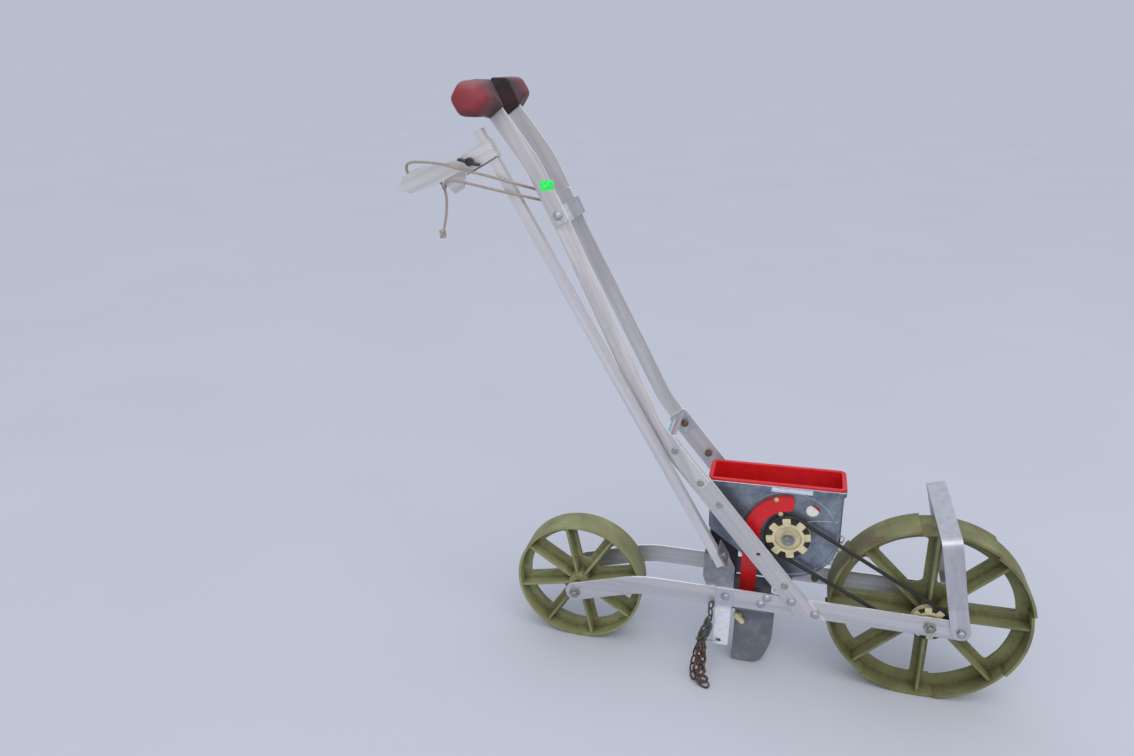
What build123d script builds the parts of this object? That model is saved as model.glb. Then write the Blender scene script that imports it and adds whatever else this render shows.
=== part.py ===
from build123d import *
import math
import os

# A push garden seeder: two moulded wheels in line, two flat side rails, a hopper whose seed
# shaft is belt driven from the front wheel, flat bar handles, a folding stand over the front
# wheel and a swinging row marker. Millimetres, X forward, Y to the machine's left, Z up.
# Pieces are made with the front axle over X = 0, then moved so that the origin lies on the
# ground under the middle of the machine.

# Driving dimensions: wheels

wheelbase = 520.7
tip_radius = 142.0
tooth_step = 3.6
tooth_count = 8
tooth_phase = 11.0
front_width = 53.0
front_spoke_phase = 1.5
rear_radius = 101.6
rear_width = 47.0
rear_spoke_phase = 13.0
spoke_count = 8
rim_wall = 4.0
web_thickness = 4.0
rib_thickness = 4.0
rib_setback = 3.0
hub_radius = 16.0
hub_overhang = 2.0
front_band = 19.0
rear_band = 16.0
window_margin = 15.0
front_eye_radius = 46.0
rear_eye_radius = 36.0
window_corner = 6.0

# Driving dimensions: shafts and fits

axle_diameter = 9.5
pin_diameter = 6.3
shaft_diameter = 8.0
running_clearance = 0.05
seat_gap = 0.1
side_clearance = 0.5
bolt_head_height = 4.5
bolt_head_flats = 15.0
collar_diameter = 15.0

# Driving dimensions: rails and handles

rail_height = 30.0
rail_thickness = 3.0
rail_inner_y = 45.5
rail_slope = 0.7
rail_front_reach = 54.0
rail_knee_x = -418.0
rail_knee_radius = 165.0
lower_bar_width = 30.0
handle_width = 23.0
bar_thickness = 3.0
handle_inset = 19.0
lean_low_z = 400.0
lean_high_z = 672.0
lean_bend_radius = 40.0
lower_angle = 130.7
middle_angle = 117.16
upper_angle = 128.0
lower_bar_foot_x = -162.0
knee_distance = 373.0
middle_knee_radius = 130.0
upper_knee_distance = 398.0
upper_knee_radius = 150.0
lower_bar_end = 346.0
middle_bar_start = 258.0
middle_bar_end = 350.0
upper_bar_start = 310.0
grip_reach = 107.0
accessory_hole_distance = 128.0
accessory_hole_diameter = 6.5
bar_corner = 4.0
foot_corner_radius = 9.0
spacer_thickness = 2.0
upper_spacer_start = 309.0
upper_spacer_end = 333.5
upper_spacer_front = 17.5
upper_spacer_back = -6.5
lower_spacer_start = 313.0
lower_spacer_end = 344.5
lower_spacer_front = 13.7
lower_spacer_back = -7.1
grip_sleeve_start = 80.8
grip_sleeve_wall = 1.5
grip_half_depth = 27.5
grip_half_height = 22.5
grip_inner_wall = 2.0
grip_outer_y = 101.5
grip_corner = 5.0

# Driving dimensions: hopper and seed drive

hopper_top = 322.5
hopper_tilt = 1.6
hem_reach = 3.0
hem_height = 9.0
lip_reach = 2.5
lip_thickness = 3.0
seed_plate_y = -25.3
seed_plate_thickness = 2.5
seed_plate_radius = 56.5
seed_window_radius = 58.5
hopper_rear_x = -322.0
hopper_near_y = -27.0
hopper_far_y = 32.0
hopper_shoulder_z = 243.0
hopper_floor_y = 2.0
hopper_slope_top = 262.0
hopper_corner = 7.0
seed_axis_x = -206.0
seed_axis_z = 246.0
housing_radius = 72.5
sheet_thickness = 1.2
liner_wall = 2.0
liner_gap = 0.3
belt_y = -35.5
belt_diameter = 5.6
seed_pulley_radius = 31.5
front_pulley_radius = 26.0
disc_thickness = 2.0
belt_gap = 0.3
chute_inner_radius = 40.0
chute_outer_radius = 63.0
chute_proud = 7.0
chute_wall = 1.8
chute_arc_end = 86.0
chute_end_corner = 8.0
chute_foot_z = 132.0

# Driving dimensions: opener, stand and marker

shoe_front_x = -213.0
shoe_rear_x = -272.0
shoe_clearance = 3.0
shoe_half_width = 17.0
shoe_wall = 2.5
bracket_rear_x = -323.0
bracket_low_x = -304.0
bracket_front_x = -277.0
bracket_top_z = 205.0
bracket_bend_z = 166.0
stand_pivot_x = 41.0
stand_width = 26.0
stand_thickness = 3.0
stand_height = 170.0
stand_half_span = 91.7
stand_lean = 14.3
marker_pivot_x = -302.0
marker_pivot_z = 214.0
marker_angle = 120.7
marker_y = -66.0
marker_width = 13.0
marker_wall = 1.6
marker_length = 698.0
marker_foot = 12.0
sleeve_distance = 657.0
sleeve_length = 25.0
chain_wire = 3.0
chain_pitch = 12.5
chain_link_width = 11.0

# Worked out from the driving dimensions

low_radius = tip_radius - tooth_step
front_axle_z = tip_radius * math.cos(math.radians(tooth_phase))
rail_outer_y = rail_inner_y + rail_thickness
lower_bar_outer_y = rail_outer_y + bar_thickness
middle_bar_outer_y = lower_bar_outer_y + bar_thickness
upper_bar_outer_y = middle_bar_outer_y + bar_thickness - handle_inset
middle_x = -314.0


def direction(angle):
    """A unit vector in the side view, as (x, z), at an angle from forward."""
    return (math.cos(math.radians(angle)), math.sin(math.radians(angle)))


def along(point, angle, distance):
    """The point at a distance from another, along an angle in the side view."""
    step = direction(angle)
    return (point[0] + distance * step[0], point[1] + distance * step[1])


def slab(outline, low_y, high_y):
    """A side-view outline given depth between two planes across the machine."""
    plane = Plane(origin=(0, high_y, 0), x_dir=(1, 0, 0), z_dir=(0, -1, 0))
    return extrude(plane * outline, amount=high_y - low_y)


def rod(x, z, low_y, high_y, radius):
    """A round rod across the machine."""
    return slab(Pos(x, z) * Circle(radius), low_y, high_y)


def hex_head(x, z, low_y, high_y, flats):
    """A hexagonal head or nut across the machine."""
    outline = Pos(x, z) * RegularPolygon(flats / 2, 6, major_radius=False)
    return slab(outline, low_y, high_y)


def offset_points(points, distance):
    """The corners of a polyline moved sideways, to the left of its direction."""
    moved = []
    for index, (x, z) in enumerate(points):
        normals = []
        for first, second in ((index - 1, index), (index, index + 1)):
            if first >= 0 and second < len(points):
                dx = points[second][0] - points[first][0]
                dz = points[second][1] - points[first][1]
                size = math.hypot(dx, dz)
                normals.append((-dz / size, dx / size))
        nx = sum(normal[0] for normal in normals)
        nz = sum(normal[1] for normal in normals)
        scale = distance * len(normals) / (nx * nx + nz * nz)
        if len(normals) == 1:
            scale = distance
        moved.append((x + nx * scale, z + nz * scale))
    return moved


def turn_side(points, index):
    """Plus one where a polyline turns left at a corner, minus one where it turns right."""
    ax = points[index][0] - points[index - 1][0]
    az = points[index][1] - points[index - 1][1]
    bx = points[index + 1][0] - points[index][0]
    bz = points[index + 1][1] - points[index][1]
    return 1 if ax * bz - az * bx > 0 else -1


def rounded_line(points, radii):
    """A polyline whose corners are arcs, or a plain line where it has no corner."""
    if len(points) == 2:
        return Line(*points)
    return FilletPolyline(*points, radius=radii)


def bar_outline(points, radii, width, start_rounding, end_rounding):
    """The outline of a flat bar of even width that follows a bent centre line."""
    half = width / 2
    left_points = offset_points(points, half)
    right_points = offset_points(points, -half)
    corners = range(1, len(points) - 1)
    left_radii = [radii[i - 1] - half * turn_side(points, i) for i in corners]
    right_radii = [radii[i - 1] + half * turn_side(points, i) for i in corners]
    edges = Curve() + rounded_line(left_points, left_radii)
    edges += rounded_line(right_points, right_radii)
    edges += Line(left_points[0], right_points[0])
    edges += Line(left_points[-1], right_points[-1])
    outline = make_face(edges)
    for end, rounding in ((0, start_rounding), (-1, end_rounding)):
        if rounding > 0:
            tips = [Vector(*left_points[end]), Vector(*right_points[end])]
            corners_here = [
                vertex
                for vertex in outline.vertices()
                if min((Vector(vertex) - tip).length for tip in tips) < 0.01
            ]
            outline = fillet(corners_here, rounding)
    return outline


def both_sides(solid):
    """The piece on the right side, and its mirror image on the left."""
    return {"right": solid, "left": mirror(solid, about=Plane.XZ)}


os.makedirs("parts", exist_ok=True)
nodes = {}


# Wheels

def rim_edge(offset):
    """The saw-toothed outline of the front rim, moved inwards by an offset."""
    pitch = 360 / tooth_count
    edges = Curve()
    for index in range(tooth_count):
        start = tooth_phase - 90 + index * pitch
        tip = tip_radius - offset
        foot = low_radius - offset
        points = []
        for share in (0, 0.5, 1):
            radius = tip + (foot - tip) * share
            step = direction(start + share * pitch)
            points.append((radius * step[0], radius * step[1]))
        edges += ThreePointArc(*points)
        step = direction(start + pitch)
        edges += Line(points[2], (tip * step[0], tip * step[1]))
    return make_face(edges)


def wheel_body(rim, rim_reach, eye_radius, window_radius, band, width, phase, hub_half):
    """A moulded wheel: rim, pierced web, one rib along each spoke, and a bored hub."""
    spoke_angles = [phase + index * 360 / spoke_count for index in range(spoke_count)]
    windows = Circle(window_radius) - Circle(eye_radius)
    for angle in spoke_angles[: spoke_count // 2]:
        windows -= Rot(0, 0, angle) * Rectangle(2 * window_radius + 2, band)
    windows = fillet(windows.vertices(), window_corner)
    web = Circle(rim_reach) - windows
    body = rim + slab(web, -web_thickness / 2, web_thickness / 2)
    rib_length = rim_reach - hub_radius / 2
    rib_half = width / 2 - rib_setback
    ribs = Sketch()
    for angle in spoke_angles:
        rib = Pos(hub_radius / 2 + rib_length / 2, 0) * Rectangle(rib_length, rib_thickness)
        ribs += Rot(0, 0, angle) * rib
    body += slab(ribs, -rib_half, rib_half)
    body += rod(0, 0, -hub_half, hub_half, hub_radius)
    bore = axle_diameter / 2 + running_clearance
    return body - rod(0, 0, -hub_half - 1, hub_half + 1, bore)


front_hub_half = front_width / 2 + hub_overhang
rear_hub_half = rear_width / 2 + hub_overhang

front_rim = slab(rim_edge(0) - rim_edge(rim_wall), -front_width / 2, front_width / 2)
front_wheel = wheel_body(
    front_rim,
    low_radius - 0.2,
    front_eye_radius,
    low_radius - rim_wall - window_margin,
    front_band,
    front_width,
    front_spoke_phase,
    front_hub_half,
)
nodes["front_wheel"] = Pos(0, 0, front_axle_z) * front_wheel

rear_rim_ring = Circle(rear_radius) - Circle(rear_radius - rim_wall)
rear_rim = slab(rear_rim_ring, -rear_width / 2, rear_width / 2)
rear_wheel = wheel_body(
    rear_rim,
    rear_radius - rim_wall / 2,
    rear_eye_radius,
    rear_radius - rim_wall - window_margin + 3,
    rear_band,
    rear_width,
    rear_spoke_phase,
    rear_hub_half,
)
nodes["rear_wheel"] = Pos(-wheelbase, 0, rear_radius) * rear_wheel


# Side rails

def rail_centre_z(x):
    """Height of the rail's centre line on its straight stretch."""
    return front_axle_z + x * math.tan(math.radians(rail_slope))


stand_pivot_z = rail_centre_z(stand_pivot_x)
rail_knee = (rail_knee_x, rail_centre_z(rail_knee_x))
arm_angle = math.degrees(
    math.atan2(rear_radius - rail_knee[1], -wheelbase - rail_knee_x)
)
rail_rear = along((-wheelbase, rear_radius), arm_angle, rail_height / 2)
rail_points = [(rail_front_reach, rail_centre_z(rail_front_reach)), rail_knee, rail_rear]
rail_rounding = rail_height / 2 - 0.2
rail_outline = bar_outline(
    rail_points, [rail_knee_radius], rail_height, rail_rounding, rail_rounding
)
hole_radius = axle_diameter / 2 + running_clearance
pin_hole_radius = pin_diameter / 2 + running_clearance
for hole_x, hole_z, radius in (
    (0, front_axle_z, hole_radius),
    (-wheelbase, rear_radius, hole_radius),
    (stand_pivot_x, stand_pivot_z, pin_hole_radius),
):
    rail_outline -= Pos(hole_x, hole_z) * Circle(radius)
for side, solid in both_sides(slab(rail_outline, -rail_outer_y, -rail_inner_y)).items():
    nodes[f"side_rail_{side}"] = solid


# Axles, with a head and a nut outside the rails and collars between hub and rail

def axle(x, z, near_collar_start, far_collar_start):
    """A bolt across both rails; its collars keep the hub in the middle."""
    body = rod(x, z, -rail_outer_y - 1, rail_outer_y + 1, axle_diameter / 2)
    for sign in (-1, 1):
        inner = sign * rail_outer_y
        outer = sign * (rail_outer_y + bolt_head_height)
        body += hex_head(x, z, min(inner, outer), max(inner, outer), bolt_head_flats)
    body += rod(x, z, -rail_inner_y, -near_collar_start, collar_diameter / 2)
    body += rod(x, z, far_collar_start, rail_inner_y, collar_diameter / 2)
    return body


pulley_outer_y = belt_y - belt_diameter / 2 - belt_gap - disc_thickness
pulley_inner_y = belt_y + belt_diameter / 2 + belt_gap + disc_thickness
pulley_boss_y = pulley_outer_y - 2.0
nodes["front_axle"] = axle(
    0, front_axle_z, -pulley_boss_y + side_clearance, front_hub_half + side_clearance
)
nodes["rear_axle"] = axle(
    -wheelbase, rear_radius, rear_hub_half + side_clearance, rear_hub_half + side_clearance
)


# Handles: three flat bars a side, each outside the one below it

lower_foot = (lower_bar_foot_x, rail_centre_z(lower_bar_foot_x) - rail_height / 2)
lower_start = along(lower_foot, lower_angle, -lower_bar_width)
lower_end = along(lower_foot, lower_angle, lower_bar_end)
handle_knee = along(lower_foot, lower_angle, knee_distance)
middle_start = along(lower_foot, lower_angle, middle_bar_start)
middle_end = along(handle_knee, middle_angle, middle_bar_end)
upper_start = along(handle_knee, middle_angle, upper_bar_start)
upper_knee = along(handle_knee, middle_angle, upper_knee_distance)
upper_end = along(upper_knee, upper_angle, grip_reach)

lower_outline = bar_outline(
    [lower_start, lower_end], [], lower_bar_width, 0, bar_corner
)
foot_trim = Pos(lower_foot[0], lower_foot[1] - 50) * Rectangle(300, 100)
lower_outline -= foot_trim
foot_corner = lower_outline.vertices().sort_by(Axis.Y)[:2].sort_by(Axis.X)[0]
lower_outline = fillet([foot_corner], foot_corner_radius)
accessory_hole = along(lower_foot, lower_angle, accessory_hole_distance)
lower_outline -= Pos(*accessory_hole) * Circle(accessory_hole_diameter / 2)
middle_points = [middle_start, handle_knee, middle_end]
middle_outline = bar_outline(
    middle_points, [middle_knee_radius], handle_width, bar_corner, bar_corner
)
upper_points = [upper_start, upper_knee, upper_end]
upper_outline = bar_outline(
    upper_points, [upper_knee_radius], handle_width, bar_corner, bar_corner
)
lower_bar = slab(lower_outline, -lower_bar_outer_y, -rail_outer_y)
upper_bar_inner_y = upper_bar_outer_y - bar_thickness
upper_bar = slab(upper_outline, -upper_bar_outer_y, -upper_bar_inner_y)

# The middle bars lean inwards as they rise, so that the handles come closer at the top
middle_low_y = -(lower_bar_outer_y + bar_thickness / 2)
middle_high_y = middle_low_y + handle_inset
lean_points = [
    (middle_low_y, 0),
    (middle_low_y, lean_low_z),
    (middle_high_y, lean_high_z),
    (middle_high_y, lean_high_z + 400),
]
lean_outline = bar_outline(
    lean_points, [lean_bend_radius, lean_bend_radius], bar_thickness, 0, 0
)
lean_plane = Plane(origin=(-1000, 0, 0), x_dir=(0, 1, 0), z_dir=(1, 0, 0))
middle_bar = slab(middle_outline, middle_low_y - 5, middle_high_y + 5)
middle_bar &= extrude(lean_plane * lean_outline, amount=1000)
for name, bar in (
    ("lower_handle", lower_bar),
    ("middle_handle", middle_bar),
    ("upper_handle", upper_bar),
):
    for side, solid in both_sides(bar).items():
        nodes[f"{name}_{side}"] = solid


# Spacer brackets between the handles: a web from side to side and two bolted ears


def bar_rectangle(root, angle, start, end, back, front):
    """A rectangle on a bar: from start to end along it, from back to front across it."""
    place = Pos(*root) * Rot(0, 0, angle) * Pos((start + end) / 2, -(back + front) / 2)
    return place * Rectangle(end - start, front - back)


def handle_spacer(ear, web, inner_y):
    """A U bracket whose ears lie against the inner faces of a pair of bars."""
    ear_y = inner_y - seat_gap
    body = slab(web, -ear_y, ear_y)
    body += slab(ear, -ear_y, -ear_y + spacer_thickness)
    body += slab(ear, ear_y - spacer_thickness, ear_y)
    return body


# The upper one's web lies along the bars, in front of them
upper_ear = bar_rectangle(
    handle_knee,
    middle_angle,
    upper_spacer_start,
    upper_spacer_end,
    upper_spacer_back,
    upper_spacer_front,
)
upper_web = bar_rectangle(
    handle_knee,
    middle_angle,
    upper_spacer_start,
    upper_spacer_end,
    upper_spacer_front - spacer_thickness,
    upper_spacer_front,
)
nodes["handle_spacer_upper"] = handle_spacer(
    upper_ear, upper_web, lower_bar_outer_y - handle_inset
)

# The lower one's web is square to the bars, at their ends
lower_ear = bar_rectangle(
    lower_foot,
    lower_angle,
    lower_spacer_start,
    lower_spacer_end,
    lower_spacer_back,
    lower_spacer_front,
)
lower_web = bar_rectangle(
    lower_foot,
    lower_angle,
    lower_spacer_end - spacer_thickness,
    lower_spacer_end,
    lower_spacer_back,
    lower_spacer_front,
)
nodes["handle_spacer_lower"] = handle_spacer(lower_ear, lower_web, rail_outer_y)


# Grips: a sleeve over each bar's top that turns outwards into a six-sided knob

grip_centre = (upper_end[0] - 2, upper_end[1])
sleeve_foot = along(upper_knee, upper_angle, grip_sleeve_start)
sleeve_half = handle_width / 2 + grip_sleeve_wall


def grip_corner_point(x, z):
    """A corner of the grip's outline, measured from the middle of its knob."""
    return (grip_centre[0] + x, grip_centre[1] + z)


sleeve_corners = [
    along(sleeve_foot, upper_angle - 90, sleeve_half),
    grip_corner_point(10, grip_half_height),
    grip_corner_point(-13, grip_half_height),
    grip_corner_point(-24, 7.5),
    grip_corner_point(-10, -12),
    along(sleeve_foot, upper_angle + 90, sleeve_half),
]
knob_corners = [
    grip_corner_point(grip_half_depth, 0),
    grip_corner_point(grip_half_depth / 2, grip_half_height),
    grip_corner_point(-grip_half_depth / 2, grip_half_height),
    grip_corner_point(-grip_half_depth, 0),
    grip_corner_point(-grip_half_depth / 2, -grip_half_height),
    grip_corner_point(grip_half_depth / 2, -grip_half_height),
]


def grip_section(y, share, size):
    """A rounded hexagon across the grip, between its sleeve's form and its knob's."""
    corners = []
    for (sleeve_x, sleeve_z), (knob_x, knob_z) in zip(sleeve_corners, knob_corners):
        x = sleeve_x + (knob_x - sleeve_x) * share - grip_centre[0]
        z = sleeve_z + (knob_z - sleeve_z) * share - grip_centre[1]
        corners.append((x * size, z * size))
    outline = make_face(Polyline(*corners, close=True))
    outline = fillet(outline.vertices(), grip_corner * size)
    plane = Plane(
        origin=(grip_centre[0], y, grip_centre[1]), x_dir=(1, 0, 0), z_dir=(0, -1, 0)
    )
    return plane * outline


grip_inner_y = upper_bar_inner_y - grip_inner_wall
# across the machine, share of the knob's form, size
grip_stations = [
    (-grip_inner_y, 0, 1.0),
    (-upper_bar_outer_y - 3.5, 0.15, 1.0),
    (-grip_outer_y + 39.5, 0.7, 1.0),
    (-grip_outer_y + 16.5, 1.0, 1.0),
    (-grip_outer_y + 6.5, 1.0, 0.9),
    (-grip_outer_y, 1.0, 0.55),
]
grip = loft([grip_section(y, share, size) for y, share, size in grip_stations], ruled=True)
slot_outline = bar_outline(
    upper_points, [upper_knee_radius], handle_width + 2 * seat_gap, 0, bar_corner
)
grip -= slab(
    slot_outline, -upper_bar_outer_y - seat_gap, -upper_bar_inner_y + seat_gap
)
for side, solid in both_sides(grip).items():
    nodes[f"grip_{side}"] = solid


# Hopper: a folded sheet shell and the moulded tub inside it

def hopper_block(inset, top):
    """The hopper's outer form, moved inwards all round by an inset, up to a height."""
    tangent = direction(234.5)
    touch = (
        seed_axis_x + housing_radius * tangent[0],
        seed_axis_z + housing_radius * tangent[1],
    )
    low = (seed_axis_x, seed_axis_z - housing_radius)
    bend = direction(180 + 100)
    middle = (
        seed_axis_x + housing_radius * bend[0],
        seed_axis_z + housing_radius * bend[1],
    )
    last = (seed_axis_x + housing_radius, seed_axis_z)
    ceiling = hopper_top + 40
    side = Curve() + Polyline((last[0], ceiling), (hopper_rear_x, ceiling))
    side += Polyline((hopper_rear_x, ceiling), (hopper_rear_x, hopper_shoulder_z), touch)
    side += ThreePointArc(touch, middle, last)
    side += Line(last, (last[0], ceiling))
    side_face = make_face(side)
    front_points = [
        (hopper_near_y, low[1] - 10),
        (hopper_floor_y, low[1] - 10),
        (hopper_floor_y, low[1] + 14),
        (hopper_far_y, hopper_slope_top),
        (hopper_far_y, ceiling),
        (hopper_near_y, ceiling),
    ]
    front_face = make_face(Polyline(*front_points, close=True))
    length = last[0] - hopper_rear_x
    depth = hopper_far_y - hopper_near_y
    plan_face = fillet(Rectangle(length, depth).vertices(), hopper_corner)
    if inset > 0:
        side_face = offset(side_face, -inset)
        front_face = offset(front_face, -inset)
        plan_face = offset(plan_face, -inset)
    block = slab(side_face, hopper_near_y + inset, hopper_far_y - inset)
    front_plane = Plane(origin=(-400, 0, 0), x_dir=(0, 1, 0), z_dir=(1, 0, 0))
    block &= extrude(front_plane * front_face, amount=400)
    plan_place = Pos(
        (last[0] + hopper_rear_x) / 2, (hopper_far_y + hopper_near_y) / 2, low[1] - 20
    )
    block &= plan_place * extrude(plan_face, amount=top - low[1] + 20)
    return block


def rim_ring(inner, outer, low, high):
    """A level ring round the hopper, between two distances out from its walls."""
    length = seed_axis_x + housing_radius - hopper_rear_x
    depth = hopper_far_y - hopper_near_y
    plan = fillet(Rectangle(length, depth).vertices(), hopper_corner)
    ring = offset(plan, outer) - offset(plan, inner)
    middle_y = (hopper_far_y + hopper_near_y) / 2
    return Pos(hopper_rear_x + length / 2, middle_y, low) * extrude(ring, amount=high - low)


def tilted(solid):
    """The whole hopper stands a little front up, turned about its seed shaft."""
    to_axis = Pos(-seed_axis_x, 0, -seed_axis_z)
    return Pos(seed_axis_x, 0, seed_axis_z) * Rot(0, -hopper_tilt, 0) * to_axis * solid


hopper_outer = hopper_block(0, hopper_top)
shell = hopper_outer - hopper_block(sheet_thickness, hopper_top + 10)

# The shell's rim is turned out and down into a hem
hem_inner = hem_reach - sheet_thickness
shell += rim_ring(-sheet_thickness, hem_reach, hopper_top - sheet_thickness, hopper_top)
shell += rim_ring(hem_inner, hem_reach, hopper_top - hem_height, hopper_top)

# The tub's lip lies over the hem
liner_inset = sheet_thickness + liner_gap
liner_inside = liner_inset + liner_wall
lip_low = hopper_top + liner_gap
lip_top = lip_low + lip_thickness
liner = hopper_block(liner_inset, lip_top)
liner += rim_ring(-liner_inside + 0.5, lip_reach, lip_low, lip_top)
liner -= hopper_block(liner_inside, hopper_top + 10)
shell = tilted(shell)
liner = tilted(liner)

shaft_hole = shaft_diameter / 2 + running_clearance
shell -= rod(seed_axis_x, seed_axis_z, hopper_near_y - 1, hopper_near_y + 4, shaft_hole)
liner -= rod(
    seed_axis_x,
    seed_axis_z,
    hopper_near_y - 1,
    hopper_near_y + liner_inside + 0.5,
    seed_window_radius,
)
peep_hole = (-176, 288.3)
peep_radius = 9.7
shell -= rod(*peep_hole, hopper_near_y - 1, hopper_near_y + 1.4, peep_radius)
nodes["hopper_shell"] = shell
nodes["hopper_liner"] = liner


# Seed chute: an arc over the pulley, then straight down and inwards to the opener

seed_axis_place = Pos(seed_axis_x, seed_axis_z)
chute_band = Circle(chute_outer_radius) - Circle(chute_inner_radius)
sector_corners = [direction(angle) for angle in (chute_arc_end, 131, 180)]
chute_sector = make_face(
    Polyline((0, 0), *[(150 * x, 150 * z) for x, z in sector_corners], close=True)
)
chute_sweep = chute_band & chute_sector
end_corners = chute_sweep.vertices().sort_by(Axis.X)[-2:]
chute_arc = seed_axis_place * fillet(end_corners, chute_end_corner)
chute_left = seed_axis_x - chute_outer_radius
chute_right = seed_axis_x - chute_inner_radius
chute_centre = (chute_left + chute_right) / 2
chute_width = chute_right - chute_left
chute_near_y = hopper_near_y - chute_proud
chute_back_y = hopper_near_y - 0.3
leg_low_z = 196.0
arc_plate = slab(chute_arc, chute_near_y, chute_back_y)
leg_height = seed_axis_z - leg_low_z
arc_plate += Pos(chute_centre, (chute_near_y + chute_back_y) / 2, leg_low_z) * Box(
    chute_width,
    chute_back_y - chute_near_y,
    leg_height,
    align=(Align.CENTER, Align.CENTER, Align.MIN),
)


def chute_leg(inset):
    """The lower leg of the chute, leaning inwards towards the machine's middle."""
    near_top = chute_near_y + inset
    back_top = chute_near_y + 18 - inset
    lean = 16
    rise = 6 if inset > 0 else 0
    points = [
        (near_top, leg_low_z + rise),
        (near_top + lean, chute_foot_z - rise),
        (back_top + lean, chute_foot_z - rise),
        (back_top, leg_low_z + rise),
    ]
    face = make_face(Polyline(*points, close=True))
    plane = Plane(origin=(chute_left + inset, 0, 0), x_dir=(0, 1, 0), z_dir=(1, 0, 0))
    return extrude(plane * face, amount=chute_width - 2 * inset)


chute = arc_plate + chute_leg(0) - chute_leg(chute_wall)
chute -= tilted(hopper_block(0, hopper_top))
chute = chute.solids().sort_by(SortBy.VOLUME)[-1]
nodes["seed_chute"] = chute


# Toothed belt pulleys

def pulley(radius, near_boss_y, far_y):
    """A core between two toothed discs; the near disc is dished."""
    core_radius = radius - 2.5
    root_radius = radius * 0.73
    belt_half = belt_diameter / 2 + belt_gap
    teeth = Circle(root_radius)
    tooth_width = radius * 0.36
    for index in range(8):
        tooth = Pos(radius / 2, 0) * Rectangle(radius, tooth_width)
        teeth += Rot(0, 0, index * 45 + 10) * tooth
    teeth &= Circle(radius)
    near_disc = slab(teeth, pulley_outer_y, pulley_outer_y + disc_thickness)
    far_disc = slab(Circle(radius), pulley_inner_y - disc_thickness, pulley_inner_y)
    core = rod(0, 0, belt_y - belt_half, belt_y + belt_half, core_radius)
    body = near_disc + far_disc + core
    dish = slab(
        Circle(root_radius - 4) - Circle(10), pulley_outer_y - 1, pulley_outer_y + 3
    )
    body -= dish
    body += rod(0, 0, near_boss_y, far_y, 9)
    return body


front_pulley = pulley(front_pulley_radius, pulley_boss_y, -front_hub_half)
front_pulley -= rod(0, 0, -60, 0, axle_diameter / 2 + running_clearance)
nodes["front_pulley"] = Pos(0, 0, front_axle_z) * front_pulley

seed_boss_y = pulley_outer_y - 3.0
seed_pulley = pulley(seed_pulley_radius, seed_boss_y, pulley_inner_y)
seed_pulley -= rod(0, 0, -60, 0, shaft_diameter / 2)
nodes["seed_pulley"] = Pos(seed_axis_x, 0, seed_axis_z) * seed_pulley

drive_hub_y = seed_plate_y + seed_plate_thickness
seed_shaft = rod(0, 0, seed_boss_y - 2, drive_hub_y + 10, shaft_diameter / 2)
seed_shaft += rod(0, 0, drive_hub_y, drive_hub_y + 7, 17)
seed_shaft += rod(0, 0, pulley_inner_y, hopper_near_y - 0.3, 7)
seed_shaft += rod(0, 0, seed_boss_y - 3.5, seed_boss_y, 7)
nodes["seed_shaft"] = Pos(seed_axis_x, 0, seed_axis_z) * seed_shaft

seed_plate = rod(0, 0, seed_plate_y, drive_hub_y, seed_plate_radius)
seed_plate -= rod(0, 0, seed_plate_y - 1, drive_hub_y + 1, shaft_hole)
nodes["seed_plate"] = Pos(seed_axis_x, 0, seed_axis_z) * seed_plate


# Drive belt: one loop round both pulleys

def belt_loop():
    """A round belt that lies in both grooves, straight between them."""
    seed_pitch = seed_pulley_radius - 2.5 + belt_gap + belt_diameter / 2
    front_pitch = front_pulley_radius - 2.5 + belt_gap + belt_diameter / 2
    dx = 0 - seed_axis_x
    dz = front_axle_z - seed_axis_z
    reach = math.hypot(dx, dz)
    heading = math.degrees(math.atan2(dz, dx))
    spread = math.degrees(math.acos((seed_pitch - front_pitch) / reach))
    seed = (seed_axis_x, seed_axis_z)
    front = (0, front_axle_z)
    seed_top = along(seed, heading + spread, seed_pitch)
    seed_back = along(seed, heading + 180, seed_pitch)
    seed_low = along(seed, heading - spread, seed_pitch)
    front_top = along(front, heading + spread, front_pitch)
    front_nose = along(front, heading, front_pitch)
    front_low = along(front, heading - spread, front_pitch)
    path = Curve() + Line(seed_top, front_top)
    path += ThreePointArc(front_top, front_nose, front_low)
    path += Line(front_low, seed_low)
    path += ThreePointArc(seed_low, seed_back, seed_top)
    plane = Plane(origin=(0, belt_y, 0), x_dir=(1, 0, 0), z_dir=(0, -1, 0))
    path = plane * path
    start = path.edges()[0] @ 0
    heading_vector = path.edges()[0] % 0
    section = Plane(origin=start, z_dir=heading_vector) * Circle(belt_diameter / 2)
    return sweep(section, path=path)


nodes["drive_belt"] = belt_loop()


# Cradle strap under the hopper, bolted to the insides of the lower bars

cradle_x = seed_axis_x
cradle_width = 25.0
cradle_top = seed_axis_z - housing_radius
cradle_y = rail_outer_y - 0.2
cradle_thickness = 2.5
cradle_outline = make_face(
    Polyline(
        (-cradle_y, cradle_top - 14),
        (-cradle_y, cradle_top),
        (cradle_y, cradle_top),
        (cradle_y, cradle_top - 14),
        (cradle_y - cradle_thickness, cradle_top - 14),
        (cradle_y - cradle_thickness, cradle_top - cradle_thickness),
        (-cradle_y + cradle_thickness, cradle_top - cradle_thickness),
        (-cradle_y + cradle_thickness, cradle_top - 14),
        close=True,
    )
)
cradle_plane = Plane(
    origin=(cradle_x - cradle_width / 2, 0, 0), x_dir=(0, 1, 0), z_dir=(1, 0, 0)
)
nodes["hopper_cradle"] = extrude(cradle_plane * cradle_outline, amount=cradle_width)


# Opener: a bracket between the rails and the shoe that hangs from it

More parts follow.
